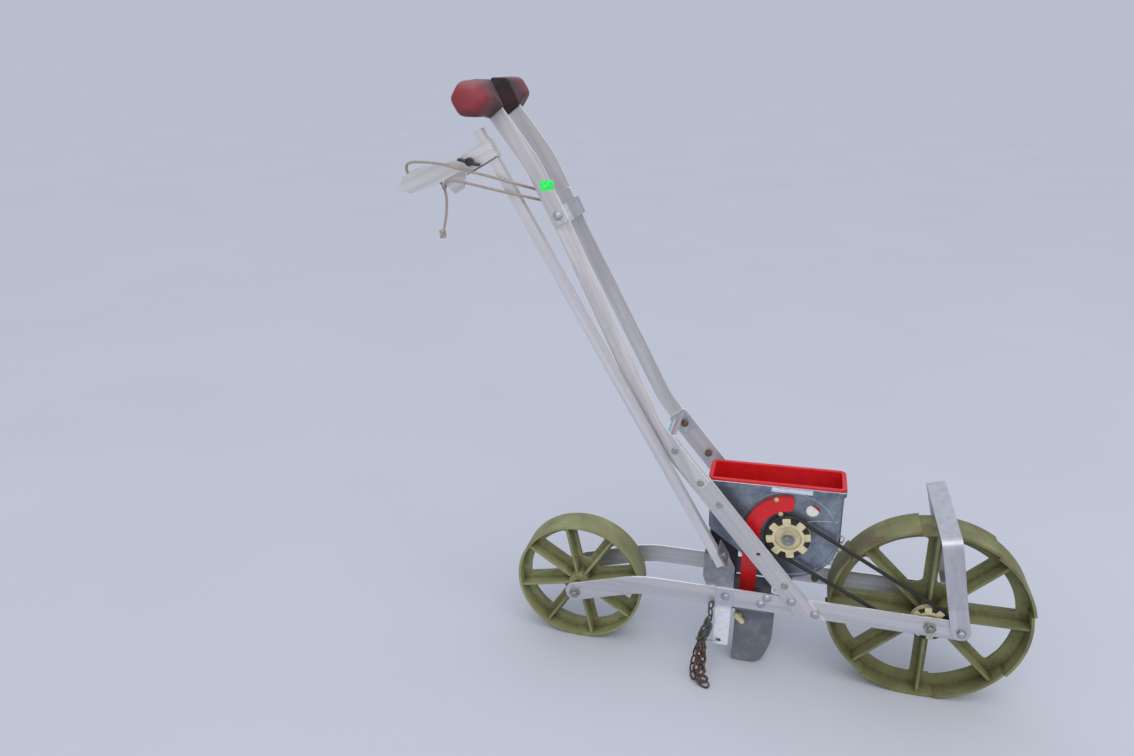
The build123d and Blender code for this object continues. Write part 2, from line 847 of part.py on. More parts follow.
flange_thickness = 2.0
flange_y = rail_inner_y - seat_gap
shoe_top_z = rail_centre_z(bracket_front_x) - rail_height / 2 - 2.0
bracket_back = [
    (bracket_rear_x + flange_thickness / 2, bracket_top_z),
    (bracket_rear_x + flange_thickness / 2, bracket_bend_z),
    (bracket_low_x + flange_thickness / 2, shoe_top_z),
]
back_outline = bar_outline(bracket_back, [6], flange_thickness, 0, 0)
back_outline -= Pos(bracket_low_x, shoe_top_z - 10) * Rectangle(60, 20)
flange_outline = make_face(
    Polyline(
        *bracket_back,
        (bracket_front_x, shoe_top_z),
        (bracket_front_x, bracket_top_z - 18),
        (bracket_front_x - 10, bracket_top_z),
        close=True,
    )
)
opener_bracket = slab(back_outline, -flange_y, flange_y)
opener_bracket += slab(flange_outline, -flange_y, -flange_y + flange_thickness)
opener_bracket += slab(flange_outline, flange_y - flange_thickness, flange_y)
nodes["opener_bracket"] = opener_bracket


def shoe_form(inset):
    """The shoe's wedge: a side outline met with a pointed plan."""
    front = shoe_front_x - inset * 1.6
    rear = shoe_rear_x
    bottom = shoe_clearance + inset
    top = shoe_top_z
    side = Curve() + Polyline((rear, bottom), (rear, top), (front, top), (front, bottom + 45))
    side += ThreePointArc((front, bottom + 45), (front - 4, bottom + 22), (front - 16, bottom))
    side += Line((front - 16, bottom), (rear, bottom))
    half = shoe_half_width - inset
    plan = make_face(
        Polyline(
            (rear, -half),
            (front - 26, -half),
            (front, -1.5),
            (front, 1.5),
            (front - 26, half),
            (rear, half),
            close=True,
        )
    )
    body = slab(make_face(side), -shoe_half_width, shoe_half_width)
    return body & (Pos(0, 0, bottom) * extrude(plan, amount=top - bottom))


shoe = shoe_form(0)
seed_way = Pos(shoe_rear_x - 1, 0, -5) * Box(
    38, 2 * (shoe_half_width - shoe_wall), 400, align=(Align.MIN, Align.CENTER, Align.MIN)
)
shoe -= seed_way & shoe_form(shoe_wall)
shoe_plate = Pos(bracket_low_x, 0, shoe_top_z - 3) * Box(
    shoe_front_x - 8 - bracket_low_x,
    2 * flange_y,
    3,
    align=(Align.MIN, Align.CENTER, Align.MIN),
)
seed_slot = Pos(shoe_rear_x + 2, 0, 0) * Box(
    34, 400, 400, align=(Align.MIN, Align.CENTER, Align.CENTER)
)
shoe_plate -= seed_way & seed_slot
nodes["opener_shoe"] = shoe + shoe_plate

knob_place = (-266.0, 85.0)
lever_points = [(-273.0, 91.5), (-257.5, 77.0)]
lever_width = 8.0
lever_outline = bar_outline(lever_points, [], lever_width, 3.5, 3.5)
knob = rod(*knob_place, -shoe_half_width - 4, -shoe_half_width, 5.5)
knob += slab(lever_outline, -shoe_half_width - 8, -shoe_half_width - 3)
nodes["shoe_knob"] = knob


# Chain bracket: clipped over the near rail, with a tongue hanging outwards

bracket_left = -302.0
bracket_right = -276.0
bracket_thickness = 2.0
rail_top = rail_centre_z(bracket_right) + rail_height / 2
rail_bottom = rail_centre_z(bracket_left) - rail_height / 2
hook_z = rail_top + seat_gap + bracket_thickness / 2
tongue_bottom = 58.0
tongue_trim = 1.5
tongue_corner = 3.5
tongue_lean = 9.0
clip_y = -rail_outer_y - seat_gap - bracket_thickness / 2
clip_points = [
    (-rail_inner_y, hook_z),
    (clip_y, hook_z),
    (clip_y, rail_bottom),
    (clip_y - tongue_lean, tongue_bottom),
]
clip_radius = bracket_thickness / 2 + 0.05
clip_outline = bar_outline(clip_points, [clip_radius, 6], bracket_thickness, 0, 0)
clip_plane = Plane(origin=(bracket_left, 0, 0), x_dir=(0, 1, 0), z_dir=(1, 0, 0))
chain_bracket = extrude(clip_plane * clip_outline, amount=bracket_right - bracket_left)

# Below the rail the tongue is a little narrower, with rounded corners at its foot
clip_width = bracket_right - bracket_left
clip_centre = (bracket_left + bracket_right) / 2
tongue_width = clip_width - 2 * tongue_trim
clip_sides = Pos(clip_centre, rail_bottom + 50) * Rectangle(clip_width, 100)
tongue_sides = Pos(clip_centre, (tongue_bottom + rail_bottom) / 2) * Rectangle(
    tongue_width, rail_bottom - tongue_bottom
)
tongue_feet = tongue_sides.vertices().sort_by(Axis.Y)[:2]
clip_sides += fillet(tongue_feet, tongue_corner)
chain_bracket &= slab(clip_sides, -100, 0)
nodes["chain_bracket"] = chain_bracket


# Drag chain: interlocked links, each turned a quarter from the one before

def chain_link():
    """One link along X, centred at the origin and flat in the XY plane."""
    bend = (chain_link_width - chain_wire) / 2
    half_straight = (chain_pitch + chain_wire) / 2 - bend - chain_wire / 2 + 0.3
    path = Curve() + Line((-half_straight, -bend), (half_straight, -bend))
    path += ThreePointArc(
        (half_straight, -bend), (half_straight + bend, 0), (half_straight, bend)
    )
    path += Line((half_straight, bend), (-half_straight, bend))
    path += ThreePointArc(
        (-half_straight, bend), (-half_straight - bend, 0), (-half_straight, -bend)
    )
    start = Plane(origin=(-half_straight, -bend, 0), z_dir=(1, 0, 0))
    section = start * RegularPolygon(chain_wire / 2, 6)
    return sweep(section, path=path, transition=Transition.ROUND)


def chain_strand(points):
    """Links placed one after another along a polyline of link ends."""
    links = []
    link = chain_link()
    for index in range(len(points) - 1):
        start = points[index]
        end = points[index + 1]
        heading = (end - start).normalized()
        across = Vector(0, 1, 0) if abs(heading.Y) < 0.8 else Vector(1, 0, 0)
        flat = Plane(origin=(start + end) * 0.5, x_dir=heading, z_dir=heading.cross(across))
        turn = 45 if index % 2 == 0 else -45
        links.append(flat * (Rot(turn, 0, 0) * link))
    return links


def link_ends(route):
    """Points one pitch apart along a route, where each link meets the next."""
    ends = [Vector(*route[0])]
    for index in range(len(route) - 1):
        start = Vector(*route[index])
        run = Vector(*route[index + 1]) - start
        steps = int(run.length / 0.1)
        for step in range(steps):
            place = start + run * (step / steps)
            if (place - ends[-1]).length >= chain_pitch:
                ends.append(place)
    return ends


# The chain hangs beside the tongue, then trails over the ground
chain_floor_z = 5.0
chain_route = [
    (-307, -54, 128),
    (-307, -54, 105),
    (-310, -55, 80),
    (-318, -57, 62),
    (-325, -61, 36),
    (-328, -68, 12),
    (-327, -76, chain_floor_z),
    (-318, -88, chain_floor_z),
    (-298, -94, chain_floor_z),
]
nodes["drag_chain"] = Compound(children=chain_strand(link_ends(chain_route)))


# Folding stand: one strap bent into a U over the front wheel

stand_tab_y = rail_outer_y + stand_thickness / 2 + 0.1
stand_outline_points = [
    (-stand_tab_y, -stand_width / 2),
    (-stand_tab_y, 38),
    (-stand_half_span + stand_thickness / 2, stand_height - stand_thickness / 2),
    (stand_half_span - stand_thickness / 2, stand_height - stand_thickness / 2),
    (stand_tab_y, 38),
    (stand_tab_y, -stand_width / 2),
]
stand_outline = bar_outline(stand_outline_points, [10, 8, 8, 10], stand_thickness, 0, 0)
stand_plane = Plane(origin=(-stand_width / 2, 0, 0), x_dir=(0, 1, 0), z_dir=(1, 0, 0))
stand = extrude(stand_plane * stand_outline, amount=stand_width)
tab_outline = Circle(stand_width / 2) + Pos(0, stand_height / 2) * Rectangle(
    stand_width, stand_height
)
tab_outline -= Circle(pin_diameter / 2 + running_clearance)
stand &= slab(tab_outline + Pos(0, stand_height) * Rectangle(60, 20), -120, 120)
stand = Rot(0, -stand_lean, 0) * stand
nodes["folding_stand"] = Pos(stand_pivot_x, 0, stand_pivot_z) * stand

pin_outer_y = stand_tab_y + stand_thickness / 2
pin = rod(
    stand_pivot_x, stand_pivot_z, -pin_outer_y - 1, -rail_inner_y + 1, pin_diameter / 2
)
pin += hex_head(
    stand_pivot_x, stand_pivot_z, -pin_outer_y - 4.2, -pin_outer_y - 0.2, 11
)
pin += hex_head(stand_pivot_x, stand_pivot_z, -rail_inner_y, -rail_inner_y + 4, 11)
nodes["stand_pins"] = pin + mirror(pin, about=Plane.XZ)


# Row marker: a square channel that swings on a pin, a sliding clamp and a bent blade

marker_pivot = (marker_pivot_x, marker_pivot_z)
marker_normal = marker_angle - 90


def marker_frame(distance, offset, y):
    """A plane on the marker: X outwards from the arm, Y along it, Z across the machine."""
    point = along(along(marker_pivot, marker_angle, distance), marker_normal, offset)
    step = direction(marker_normal)
    return Plane(
        origin=(point[0], y, point[1]), x_dir=(step[0], 0, step[1]), z_dir=(0, -1, 0)
    )


arm_centre = marker_length / 2 - marker_foot
arm = marker_frame(arm_centre, 0, marker_y) * Box(marker_width, marker_length, marker_width)
arm_hollow = marker_frame(arm_centre, -marker_wall, marker_y) * Box(
    marker_width, marker_length + 2, marker_width - 2 * marker_wall
)
marker_arm = arm - arm_hollow
pin_hole = Plane(
    origin=(marker_pivot_x, marker_y, marker_pivot_z),
    x_dir=(0, 1, 0),
    z_dir=(direction(marker_normal)[0], 0, direction(marker_normal)[1]),
)
marker_arm -= pin_hole * Cylinder(pin_diameter / 2 + running_clearance, 40)
nodes["marker_arm"] = marker_arm

plate_gap = 0.4
plate_thickness = 2.5
plate_start = marker_width / 2 + plate_gap
plate_near_y = marker_y - 13
ear_half = 12.0
bracket_y = -flange_y + flange_thickness + seat_gap
ear_end_y = bracket_y + plate_thickness
ear_plate = pin_hole * Pos(0, 0, plate_start + plate_thickness / 2) * (
    Pos((ear_end_y + plate_near_y) / 2 - marker_y, 0, 0)
    * Box(ear_end_y - plate_near_y, 2 * ear_half, plate_thickness)
)
ear_upper = along(marker_pivot, marker_angle, ear_half)
ear_lower = along(marker_pivot, marker_angle, -ear_half)
plate_end = plate_start + plate_thickness
bracket_foot = [
    (bracket_front_x - 3, bracket_top_z - 24),
    (bracket_front_x - 3, bracket_bend_z + 2),
    (bracket_rear_x + 6, bracket_bend_z + 2),
    (bracket_rear_x + 6, bracket_top_z - 12),
]
marker_bracket_outline = make_face(
    Polyline(
        along(ear_upper, marker_normal, plate_start),
        along(ear_upper, marker_normal, plate_end),
        along(ear_lower, marker_normal, plate_end),
        *bracket_foot,
        along(ear_lower, marker_normal, plate_start),
        close=True,
    )
)
marker_bracket = ear_plate + slab(marker_bracket_outline, bracket_y, ear_end_y)
marker_bracket -= pin_hole * Cylinder(pin_diameter / 2 + running_clearance, 60)
nodes["marker_bracket"] = marker_bracket

pin_front = plate_end
marker_pin = pin_hole * Pos(0, 0, (plate_start + pin_front + 1) / 2 - 8) * Cylinder(
    pin_diameter / 2, pin_front + 1 - plate_start + 16
)
marker_pin += pin_hole * Pos(0, 0, pin_front + 2) * Cylinder(5.5, 4)
marker_pin += pin_hole * Pos(0, 0, -marker_width / 2 - 2.7) * Cylinder(5.5, 4)
nodes["marker_pin"] = marker_pin

clamp_gap = 0.1
clamp_thickness = 2.0
clamp_half = marker_width / 2 + clamp_gap + clamp_thickness
leg_reach = 42.0
clamp_plane = marker_frame(sleeve_distance, 0, marker_y)
clamp_inside = clamp_half - clamp_thickness
clamp_face = Pos((clamp_half - leg_reach) / 2, 0) * Rectangle(
    clamp_half + leg_reach, 2 * clamp_half
)
clamp_face -= Pos((clamp_inside - leg_reach - 1) / 2, 0) * Rectangle(
    clamp_inside + leg_reach + 1, 2 * clamp_inside
)
clamp_cross = Plane(
    origin=clamp_plane.origin, x_dir=clamp_plane.x_dir, z_dir=clamp_plane.y_dir
)
marker_clamp = clamp_cross * extrude(clamp_face, amount=sleeve_length / 2, both=True)
wing_offset = -28.0
wing_plane = marker_frame(sleeve_distance, wing_offset, marker_y)
marker_clamp -= wing_plane * Cylinder(3.2, 60)
nodes["marker_clamp"] = marker_clamp

blade_thickness = 2.0
blade_near_y = marker_y - marker_width / 2 - clamp_gap + blade_thickness
blade_root = along(
    along(marker_pivot, marker_angle, sleeve_distance), marker_normal, wing_offset
)
# The leaf's corners, measured from the wing bolt
leaf_corners = [
    (12, 8),
    (5, -4),
    (-7, -6.9),
    (-40.5, -27.6),
    (-86.5, -45.6),
    (-106.5, -42.6),
    (-98.5, -23.6),
    (-78.5, -11.6),
    (-38.5, -4.6),
    (-8, 6),
]
leaf_points = [(blade_root[0] + x, blade_root[1] + z) for x, z in leaf_corners]
leaf_face = make_face(Polyline(*leaf_points, close=True))
leaf = slab(leaf_face, blade_near_y - blade_thickness, blade_near_y)

# A second, smaller leaf is bent back from the first along its lower edge
small_depth = 10.0
small_run = 21.3
small_corners = [leaf_corners[3], leaf_corners[2], (-14.5, -36.6), (-28.5, -45.2)]
small_points = [(blade_root[0] + x, blade_root[1] + z) for x, z in small_corners]
fold_low = small_points[0]
fold_top = small_points[1]
fold_length = math.dist(fold_low, fold_top)
fold_x = (fold_top[0] - fold_low[0]) / fold_length
fold_z = (fold_top[1] - fold_low[1]) / fold_length
fold_plane = Plane(
    origin=(fold_low[0], 0, fold_low[1]),
    x_dir=(fold_z, 0, -fold_x),
    z_dir=(fold_x, 0, fold_z),
)
small_profile = [
    (0, blade_near_y - blade_thickness),
    (small_run, blade_near_y + small_depth - blade_thickness),
    (small_run, blade_near_y + small_depth),
    (0, blade_near_y),
]
small = extrude(
    fold_plane * make_face(Polyline(*small_profile, close=True)), amount=fold_length
)
small_face = make_face(Polyline(*small_points, close=True))
small &= slab(small_face, blade_near_y - 20, blade_near_y + 20)
marker_blade = leaf + small
marker_blade -= wing_plane * Cylinder(3.2, 60)
nodes["marker_blade"] = marker_blade

wing_bolt = wing_plane * Cylinder(3.1, 2 * clamp_half + 10)
wing_bolt += wing_plane * Pos(0, 0, clamp_half + 3) * Cylinder(5.5, 5.6)
wing_bolt += wing_plane * Pos(0, 0, -clamp_half - 2.2) * Cylinder(5.5, 4)
wing_turn = 47.0
for sign in (-1, 1):
    wing = Pos(0, sign * 9, clamp_half + 6) * Box(3, 11, 9)
    wing_bolt += wing_plane * Rot(0, 0, wing_turn) * wing
nodes["marker_wing_bolt"] = wing_bolt


# Marker rope: from the knot up behind the blade, over it, to the near handle and back

rope_diameter = 4.0
rope_points = [
    (-710, -64.5, 664),
    (-704.5, -64.5, 681),
    (-701.7, -64.5, 704),
    (-701.7, -64.5, 716),
    (-704.5, -64.5, 728),
    (-711, -64.5, 737),
    (-729, -64.5, 739.2),
    (-751.2, -64.5, 738),
    (-758.4, -67, 749.5),
    (-751.2, -76, 760.5),
    (-733, -79.5, 762.6),
    (-716, -80.4, 762.2),
    (-698, -80.6, 761.1),
    (-680, -80.8, 756.7),
    (-659, -80.8, 752.4),
    (-634, -79.5, 747.6),
    (-612, -78.6, 742.5),
    (-600, -78.6, 739.8),
    (-594, -72, 737),
    (-591.5, -60, 733.8),
    (-592.5, -47, 731),
    (-593.5, -37, 729),
    (-590.5, -30, 726.7),
    (-583, -27.2, 724.5),
    (-568, -27, 724.5),
    (-563.8, -27, 720.3),
    (-563.8, -27, 714.3),
    (-568, -27, 710.1),
    (-576, -27.2, 710.3),
    (-583.5, -30, 712.2),
    (-586.5, -37, 714.4),
    (-585.5, -48, 716.8),
    (-584.5, -62, 719.7),
    (-587, -73.5, 722.7),
    (-593, -79, 724.8),
    (-608, -78.6, 727.1),
    (-622, -78.6, 729.3),
    (-648, -78.5, 733.9),
    (-674, -78.5, 738.7),
    (-688, -77.6, 740.4),
    (-696.5, -75.6, 736.8),
    (-702.5, -71.8, 731),
]


def rope_radii(points):
    """The largest arc that each corner's two runs allow."""
    radii = []
    for index in range(1, len(points) - 1):
        before = Vector(*points[index]) - Vector(*points[index - 1])
        after = Vector(*points[index + 1]) - Vector(*points[index])
        half_turn = math.radians(before.get_angle(after) / 2)
        radii.append(0.45 * min(before.length, after.length) / math.tan(half_turn))
    return radii


radii = rope_radii(rope_points)
rope_path = FilletPolyline(*rope_points, radius=radii)
rope_start = Plane(origin=rope_path @ 0, z_dir=rope_path % 0)
rope = sweep(rope_start * Circle(rope_diameter / 2), path=rope_path)
nodes["marker_rope"] = rope
rope_section = math.pi * rope_diameter ** 2 / 4
print("rope radii", [round(radius, 1) for radius in radii])
print("rope length", round(rope_path.length, 1), "volume share", round(
    rope.volume / rope_section / rope_path.length, 4
))

knot_places = [(rope_points[0], 5.5, 6.5), ((-703, -68, 730), 4.0, 4.0)]
knots = [
    Pos(*place) * scale(Sphere(half_width), (1, 1, half_height / half_width))
    for place, half_width, half_height in knot_places
]
nodes["rope_knot"] = Compound(children=knots)

if __name__ == "__main__":
    for name, solid in nodes.items():
        placed = Pos(-middle_x, 0, 0) * solid
        export_step(placed, f"parts/{name}.step")
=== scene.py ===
# %% [markdown]
# # A garden seeder, dressed for its picture
#
# The real machine is a push seeder: two moulded wheels in line, flat aluminium bars, a folded
# sheet hopper and a row marker that hangs on a rope. Its rigid pieces come from CAD as a fixed
# frame. This lesson gives each of them the surface it has in life, and adds the small things
# that CAD leaves out: bolts, seams, chain links, rope strands, labels and dirt.

# %% Load the frame
import math

import bmesh
import bpy
from mathutils import Matrix, Vector


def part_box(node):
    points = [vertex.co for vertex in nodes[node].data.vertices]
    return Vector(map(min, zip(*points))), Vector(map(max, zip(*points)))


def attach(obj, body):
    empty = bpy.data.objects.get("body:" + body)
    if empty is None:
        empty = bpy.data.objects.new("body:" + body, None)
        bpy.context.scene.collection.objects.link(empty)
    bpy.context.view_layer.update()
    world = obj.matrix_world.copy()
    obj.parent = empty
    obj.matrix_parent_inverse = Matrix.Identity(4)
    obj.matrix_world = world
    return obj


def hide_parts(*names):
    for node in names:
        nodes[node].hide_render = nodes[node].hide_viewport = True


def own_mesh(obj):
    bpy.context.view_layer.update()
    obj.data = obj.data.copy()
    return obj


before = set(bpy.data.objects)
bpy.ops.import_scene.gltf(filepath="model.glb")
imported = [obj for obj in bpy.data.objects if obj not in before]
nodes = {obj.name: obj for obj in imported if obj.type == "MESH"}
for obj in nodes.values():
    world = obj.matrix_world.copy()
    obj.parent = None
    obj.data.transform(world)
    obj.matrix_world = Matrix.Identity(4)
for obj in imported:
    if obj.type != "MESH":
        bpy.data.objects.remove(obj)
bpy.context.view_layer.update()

# %% [markdown]
# ## The camera
#
# The picture was taken from the machine's right side, a little behind its middle and above it.
# The camera's place and lens were fitted to points of the wheels, rails and handles, so that
# the pieces fall where they do in the picture.

# %% Camera
camera_data = bpy.data.cameras.new("camera")
camera_data.sensor_width = 36.0
camera_data.lens = 27.13
camera = bpy.data.objects.new("camera", camera_data)
camera.location = (0.07431, -1.15340, 0.90531)
camera.rotation_euler = [math.radians(angle) for angle in (68.855, -0.268, 15.08)]
bpy.context.scene.collection.objects.link(camera)
bpy.context.scene.camera = camera
print("camera lens in millimetres:", camera_data.lens)

# %% [markdown]
# ## Colours and shader nodes
#
# Colours are given as sRGB hex values, but a renderer adds light in linear numbers, so
# one function changes them. A second one adds any shader node with its settings and links,
# which keeps each material to a few lines. A pattern's scale is the number of its features in a
# metre, so it is worked out from the feature's real size in millimetres. One colour is laid
# over another by a Mix node, whose sockets 6 and 7 are its colours and whose output 2 is the
# result. No real edge is perfectly sharp, and the thin highlight along a rounded one tells the
# eye how large a piece is. A Bevel node rounds the shading there without any new faces.


# %% Colour, scale and node helpers
def colour(code):
    """A linear colour from an sRGB hex value such as 8C8F66."""
    parts = [int(code[index : index + 2], 16) / 255 for index in (0, 2, 4)]
    linear = [
        part / 12.92 if part <= 0.04045 else ((part + 0.055) / 1.055) ** 2.4
        for part in parts
    ]
    return (*linear, 1.0)


def features_of(size_mm):
    """The pattern scale that makes features of this size in millimetres."""
    return 1000.0 / size_mm


def add_node(tree, kind, inputs=None, stops=None, **settings):
    """Adds a shader node, with its settings, its colour stops and its numbers or links."""
    node = tree.nodes.new("ShaderNode" + kind)
    for name, value in settings.items():
        setattr(node, name, value)
    for index, (place, shade) in enumerate(stops or []):
        elements = node.color_ramp.elements
        stop = elements[index] if index < 2 else elements.new(place)
        stop.position = place
        stop.color = shade
    for key, value in (inputs or {}).items():
        if isinstance(value, bpy.types.NodeSocket):
            tree.links.new(value, node.inputs[key])
        else:
            node.inputs[key].default_value = value
    return node


# %% New materials
def new_material(name, rounding=0.0, **constants):
    """A material with one shader, its edges rounded by a radius, and object coordinates."""
    material = bpy.data.materials.new(name)
    material.use_nodes = True
    tree = material.node_tree
    shader = tree.nodes["Principled BSDF"]
    for key, value in constants.items():
        shader.inputs[key.replace("_", " ")].default_value = value
    place = add_node(tree, "TexCoord").outputs["Object"]
    if rounding:
        edge = add_node(tree, "Bevel", {"Radius": rounding}, samples=4)
        tree.links.new(edge.outputs[0], shader.inputs["Normal"])
    return material, tree, shader, place


def mottled(name, size_mm, detail, shades, rounding=0.0, **constants):
    """A material that drifts between two shades, in patches of one size."""
    material, tree, shader, place = new_material(name, rounding, **constants)
    patches = add_node(
        tree, "TexNoise", {"Vector": place, "Scale": features_of(size_mm), "Detail": detail}
    )
    stops = [(share, colour(shade)) for share, shade in shades]
    base = add_node(tree, "ValToRGB", {"Fac": patches.outputs[0]}, stops=stops)
    tree.links.new(base.outputs[0], shader.inputs["Base Color"])
    return material


# %% Dressing and showing pieces
def dress(material, *names):
    """Gives CAD pieces a material in place of the plain one they came with."""
    for name in names:
        mesh = nodes[name].data
        mesh.materials.clear()
        mesh.materials.append(material)
    print(material.name, "on", ", ".join(names))


def show(name, mesh, body, material):
    """Puts a finished mesh in the scene, on its body and with its finish."""
    mesh.materials.clear()
    mesh.materials.append(material)
    piece = bpy.data.objects.new(name, mesh)
    bpy.context.scene.collection.objects.link(piece)
    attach(piece, body)
    print(name, "on", body, "faces:", len(mesh.polygons))
    return piece


# %% [markdown]
# ## The studio
#
# The real machine stood outdoors in open shade, where the light comes softly from the whole
# sky. A pale world, brighter overhead, does most of that here. A very wide sun from above and in
# front puts soft shadows under the wheels, and two large panels give the bars their broad dull
# gleam. They need not be seen, so nothing but the floor is drawn behind the machine.

# %% Floor
floor_reach = 40.0
bm = bmesh.new()
bmesh.ops.create_grid(bm, x_segments=8, y_segments=8, size=floor_reach)
floor_mesh = bpy.data.meshes.new("floor")
bm.to_mesh(floor_mesh)
bm.free()
floor = bpy.data.objects.new("floor", floor_mesh)
bpy.context.scene.collection.objects.link(floor)

# Matt paint has no gleam, and faint clouds over half a metre wide keep it from looking flat
floor_shades = [(0.3, "B9BDC7"), (0.7, "BCC0CA")]
floor_paint = mottled("pale_floor_paint", 625, 5.0, floor_shades, Roughness=0.75)
floor_mesh.materials.append(floor_paint)
print("floor reaches:", floor_reach, "metres")

# %% Sky
world = bpy.data.worlds.new("open_shade")
world.use_nodes = True
sky_tree = world.node_tree
sky = sky_tree.nodes["Background"]
sky.inputs["Color"].default_value = colour("DDE2EE")
# The sky is brightest overhead, which gives metal its light top edges
heading = add_node(sky_tree, "TexCoord")
height = add_node(sky_tree, "SeparateXYZ", {0: heading.outputs["Generated"]})
glow = add_node(
    sky_tree,
    "MapRange",
    {"Value": height.outputs[2], "From Min": 0.0, "From Max": 0.8, "To Min": 0.36, "To Max": 1.15},
)
sky_tree.links.new(glow.outputs[0], sky.inputs["Strength"])
# What the camera sees past the floor's far edge is as pale as the floor itself
seen = add_node(sky_tree, "Background", {"Color": colour("B8BECE"), "Strength": 1.0})
ray = add_node(sky_tree, "LightPath")
chosen = add_node(
    sky_tree,
    "MixShader",
    {0: ray.outputs["Is Camera Ray"], 1: sky.outputs[0], 2: seen.outputs[0]},
)
sky_tree.links.new(chosen.outputs[0], sky_tree.nodes["World Output"].inputs["Surface"])
bpy.context.scene.world = world
bpy.context.scene.view_settings.view_transform = "Standard"
print("sky:", world.name)

# %% Lamps
def aimed(name, kind, at, towards, shade, **settings):
    """A lamp of some kind that faces a point."""
    data = bpy.data.lights.new(name, kind)
    data.color = colour(shade)[:3]
    for key, value in settings.items():
        setattr(data, key, value)
    holder = bpy.data.objects.new(name, data)
    holder.location = at
    holder.rotation_euler = (Vector(towards) - Vector(at)).to_track_quat("-Z", "Y").to_euler()
    bpy.context.scene.collection.objects.link(holder)


middle = (0, 0, 0.3)
aimed("open_sky", "SUN", (0.5, -1.7, 3.4), middle, "FFF8F0", energy=0.85, angle=math.radians(50))
aimed("front_panel", "AREA", (-0.4, -3.2, 1.8), middle, "FFFAF4", energy=22, size=2.4)
aimed("side_panel", "AREA", (3.0, -1.0, 1.8), middle, "FFF6EA", energy=20, size=2.0)
print("lamps:", [light.name for light in bpy.data.lights])

# %% [markdown]
# ## Olive wheels
#
# The wheels are moulded polyethylene, a soft waxy plastic coloured olive through and through.
# Years outdoors left them dull and chalky, with brown soil in the corners and pale dust where
# they were handled. A painted texture could show all that, but noise patterns at three sizes do
# it without a picture and from every side: slow patches of two olives, soil and painted shade
# that darken the corners, soil on the tread, and fine pale specks. The bump is the orange peel
# of a cheap mould.

# %% Olive polyethylene
def olive_polyethylene(name, axle, radius, deep, pale, soiling):
    """Moulded olive plastic, chalky, with soil and painted shade in its corners and soil on its
    tread.
    """
    material, tree, shader, place = new_material(name, Roughness=0.62, IOR=1.5)
    # The plastic itself drifts between two olives, in patches some 55 mm across
    drift = add_node(
        tree, "TexNoise", {"Vector": place, "Scale": features_of(55), "Detail": 4.0}
    )
    base = add_node(
        tree,
        "ValToRGB",
        {"Fac": drift.outputs[0]},
        stops=[(0.32, colour(deep)), (0.68, colour(pale))],
    )
    # Soil and painted shade darken what lies within 18 mm of a corner, and a noise makes their
    # border ragged
    corner = add_node(tree, "AmbientOcclusion", {"Distance": 0.018}, samples=8)
    soil_and_shade_edge = add_node(
        tree, "TexNoise", {"Vector": place, "Scale": features_of(7), "Detail": 6.0}
    )
    soil_and_shade = add_node(
        tree,
        "Math",
        {0: corner.outputs["AO"], 1: soil_and_shade_edge.outputs[0]},
        operation="MULTIPLY",
    )
    soil_and_shade_amount = add_node(
        tree,
        "ValToRGB",
        {"Fac": soil_and_shade.outputs[0]},
        stops=[(0.08, (0.85, 0.85, 0.85, 1)), (0.36, (0, 0, 0, 1))],
    )
    corner_soil_and_shade = add_node(
        tree,
        "Mix",
        {0: soil_and_shade_amount.outputs[0], 6: base.outputs[0], 7: colour("494630")},
        data_type="RGBA",
    )
    # Dried soil clings to the tread, in ragged patches some 40 mm long
    spot = add_node(tree, "VectorMath", {0: place, 1: (-axle[0], 0, -axle[1])}, operation="ADD")
    flat = add_node(
        tree, "VectorMath", {0: spot.outputs[0], 1: (1, 0, 1)}, operation="MULTIPLY"
    )
    reach = add_node(tree, "VectorMath", {0: flat.outputs[0]}, operation="LENGTH")
    tread = add_node(
        tree,
        "MapRange",
        {"Value": reach.outputs["Value"], "From Min": radius - 0.006, "From Max": radius - 0.001},
    )
    cling = add_node(
        tree, "TexNoise", {"Vector": place, "Scale": features_of(40), "Detail": 8.0}
    )
    clung = add_node(
        tree,
        "ValToRGB",
        {"Fac": cling.outputs[0]},
        stops=[(0.5, (0, 0, 0, 1)), (0.62, (soiling, soiling, soiling, 1))],
    )
    cover = add_node(
        tree, "Math", {0: tread.outputs[0], 1: clung.outputs[0]}, operation="MULTIPLY"
    )
    soiled_and_shaded = add_node(
        tree,
        "Mix",
        {0: cover.outputs[0], 6: corner_soil_and_shade.outputs[2], 7: colour("6A5C43")},
        data_type="RGBA",
    )
    # Pale dust is left in the dimples as specks of 2 mm
    speck = add_node(
        tree, "TexNoise", {"Vector": place, "Scale": features_of(2.2), "Detail": 3.0}
    )
    speck_amount = add_node(
        tree,
        "ValToRGB",
        {"Fac": speck.outputs[0]},
        stops=[(0.62, (0, 0, 0, 1)), (0.72, (0.5, 0.5, 0.5, 1))],
    )
    finished = add_node(
        tree,
        "Mix",
        {0: speck_amount.outputs[0], 6: soiled_and_shaded.outputs[2], 7: colour("A3A288")},
        data_type="RGBA",
    )
    tree.links.new(finished.outputs[2], shader.inputs["Base Color"])
    # Real orange peel is half a millimetre across, and is drawn coarser so that it shows
    peel = add_node(
        tree, "TexNoise", {"Vector": place, "Scale": features_of(1.4), "Detail": 2.0}
    )
    edge = add_node(tree, "Bevel", {"Radius": 0.0008}, samples=4)
    bump = add_node(
        tree,
        "Bump",
        {
            "Strength": 0.25,
            "Distance": 0.0004,
            "Height": peel.outputs[0],
            "Normal": edge.outputs[0],
        },
    )
    tree.links.new(bump.outputs[0], shader.inputs["Normal"])
    return material
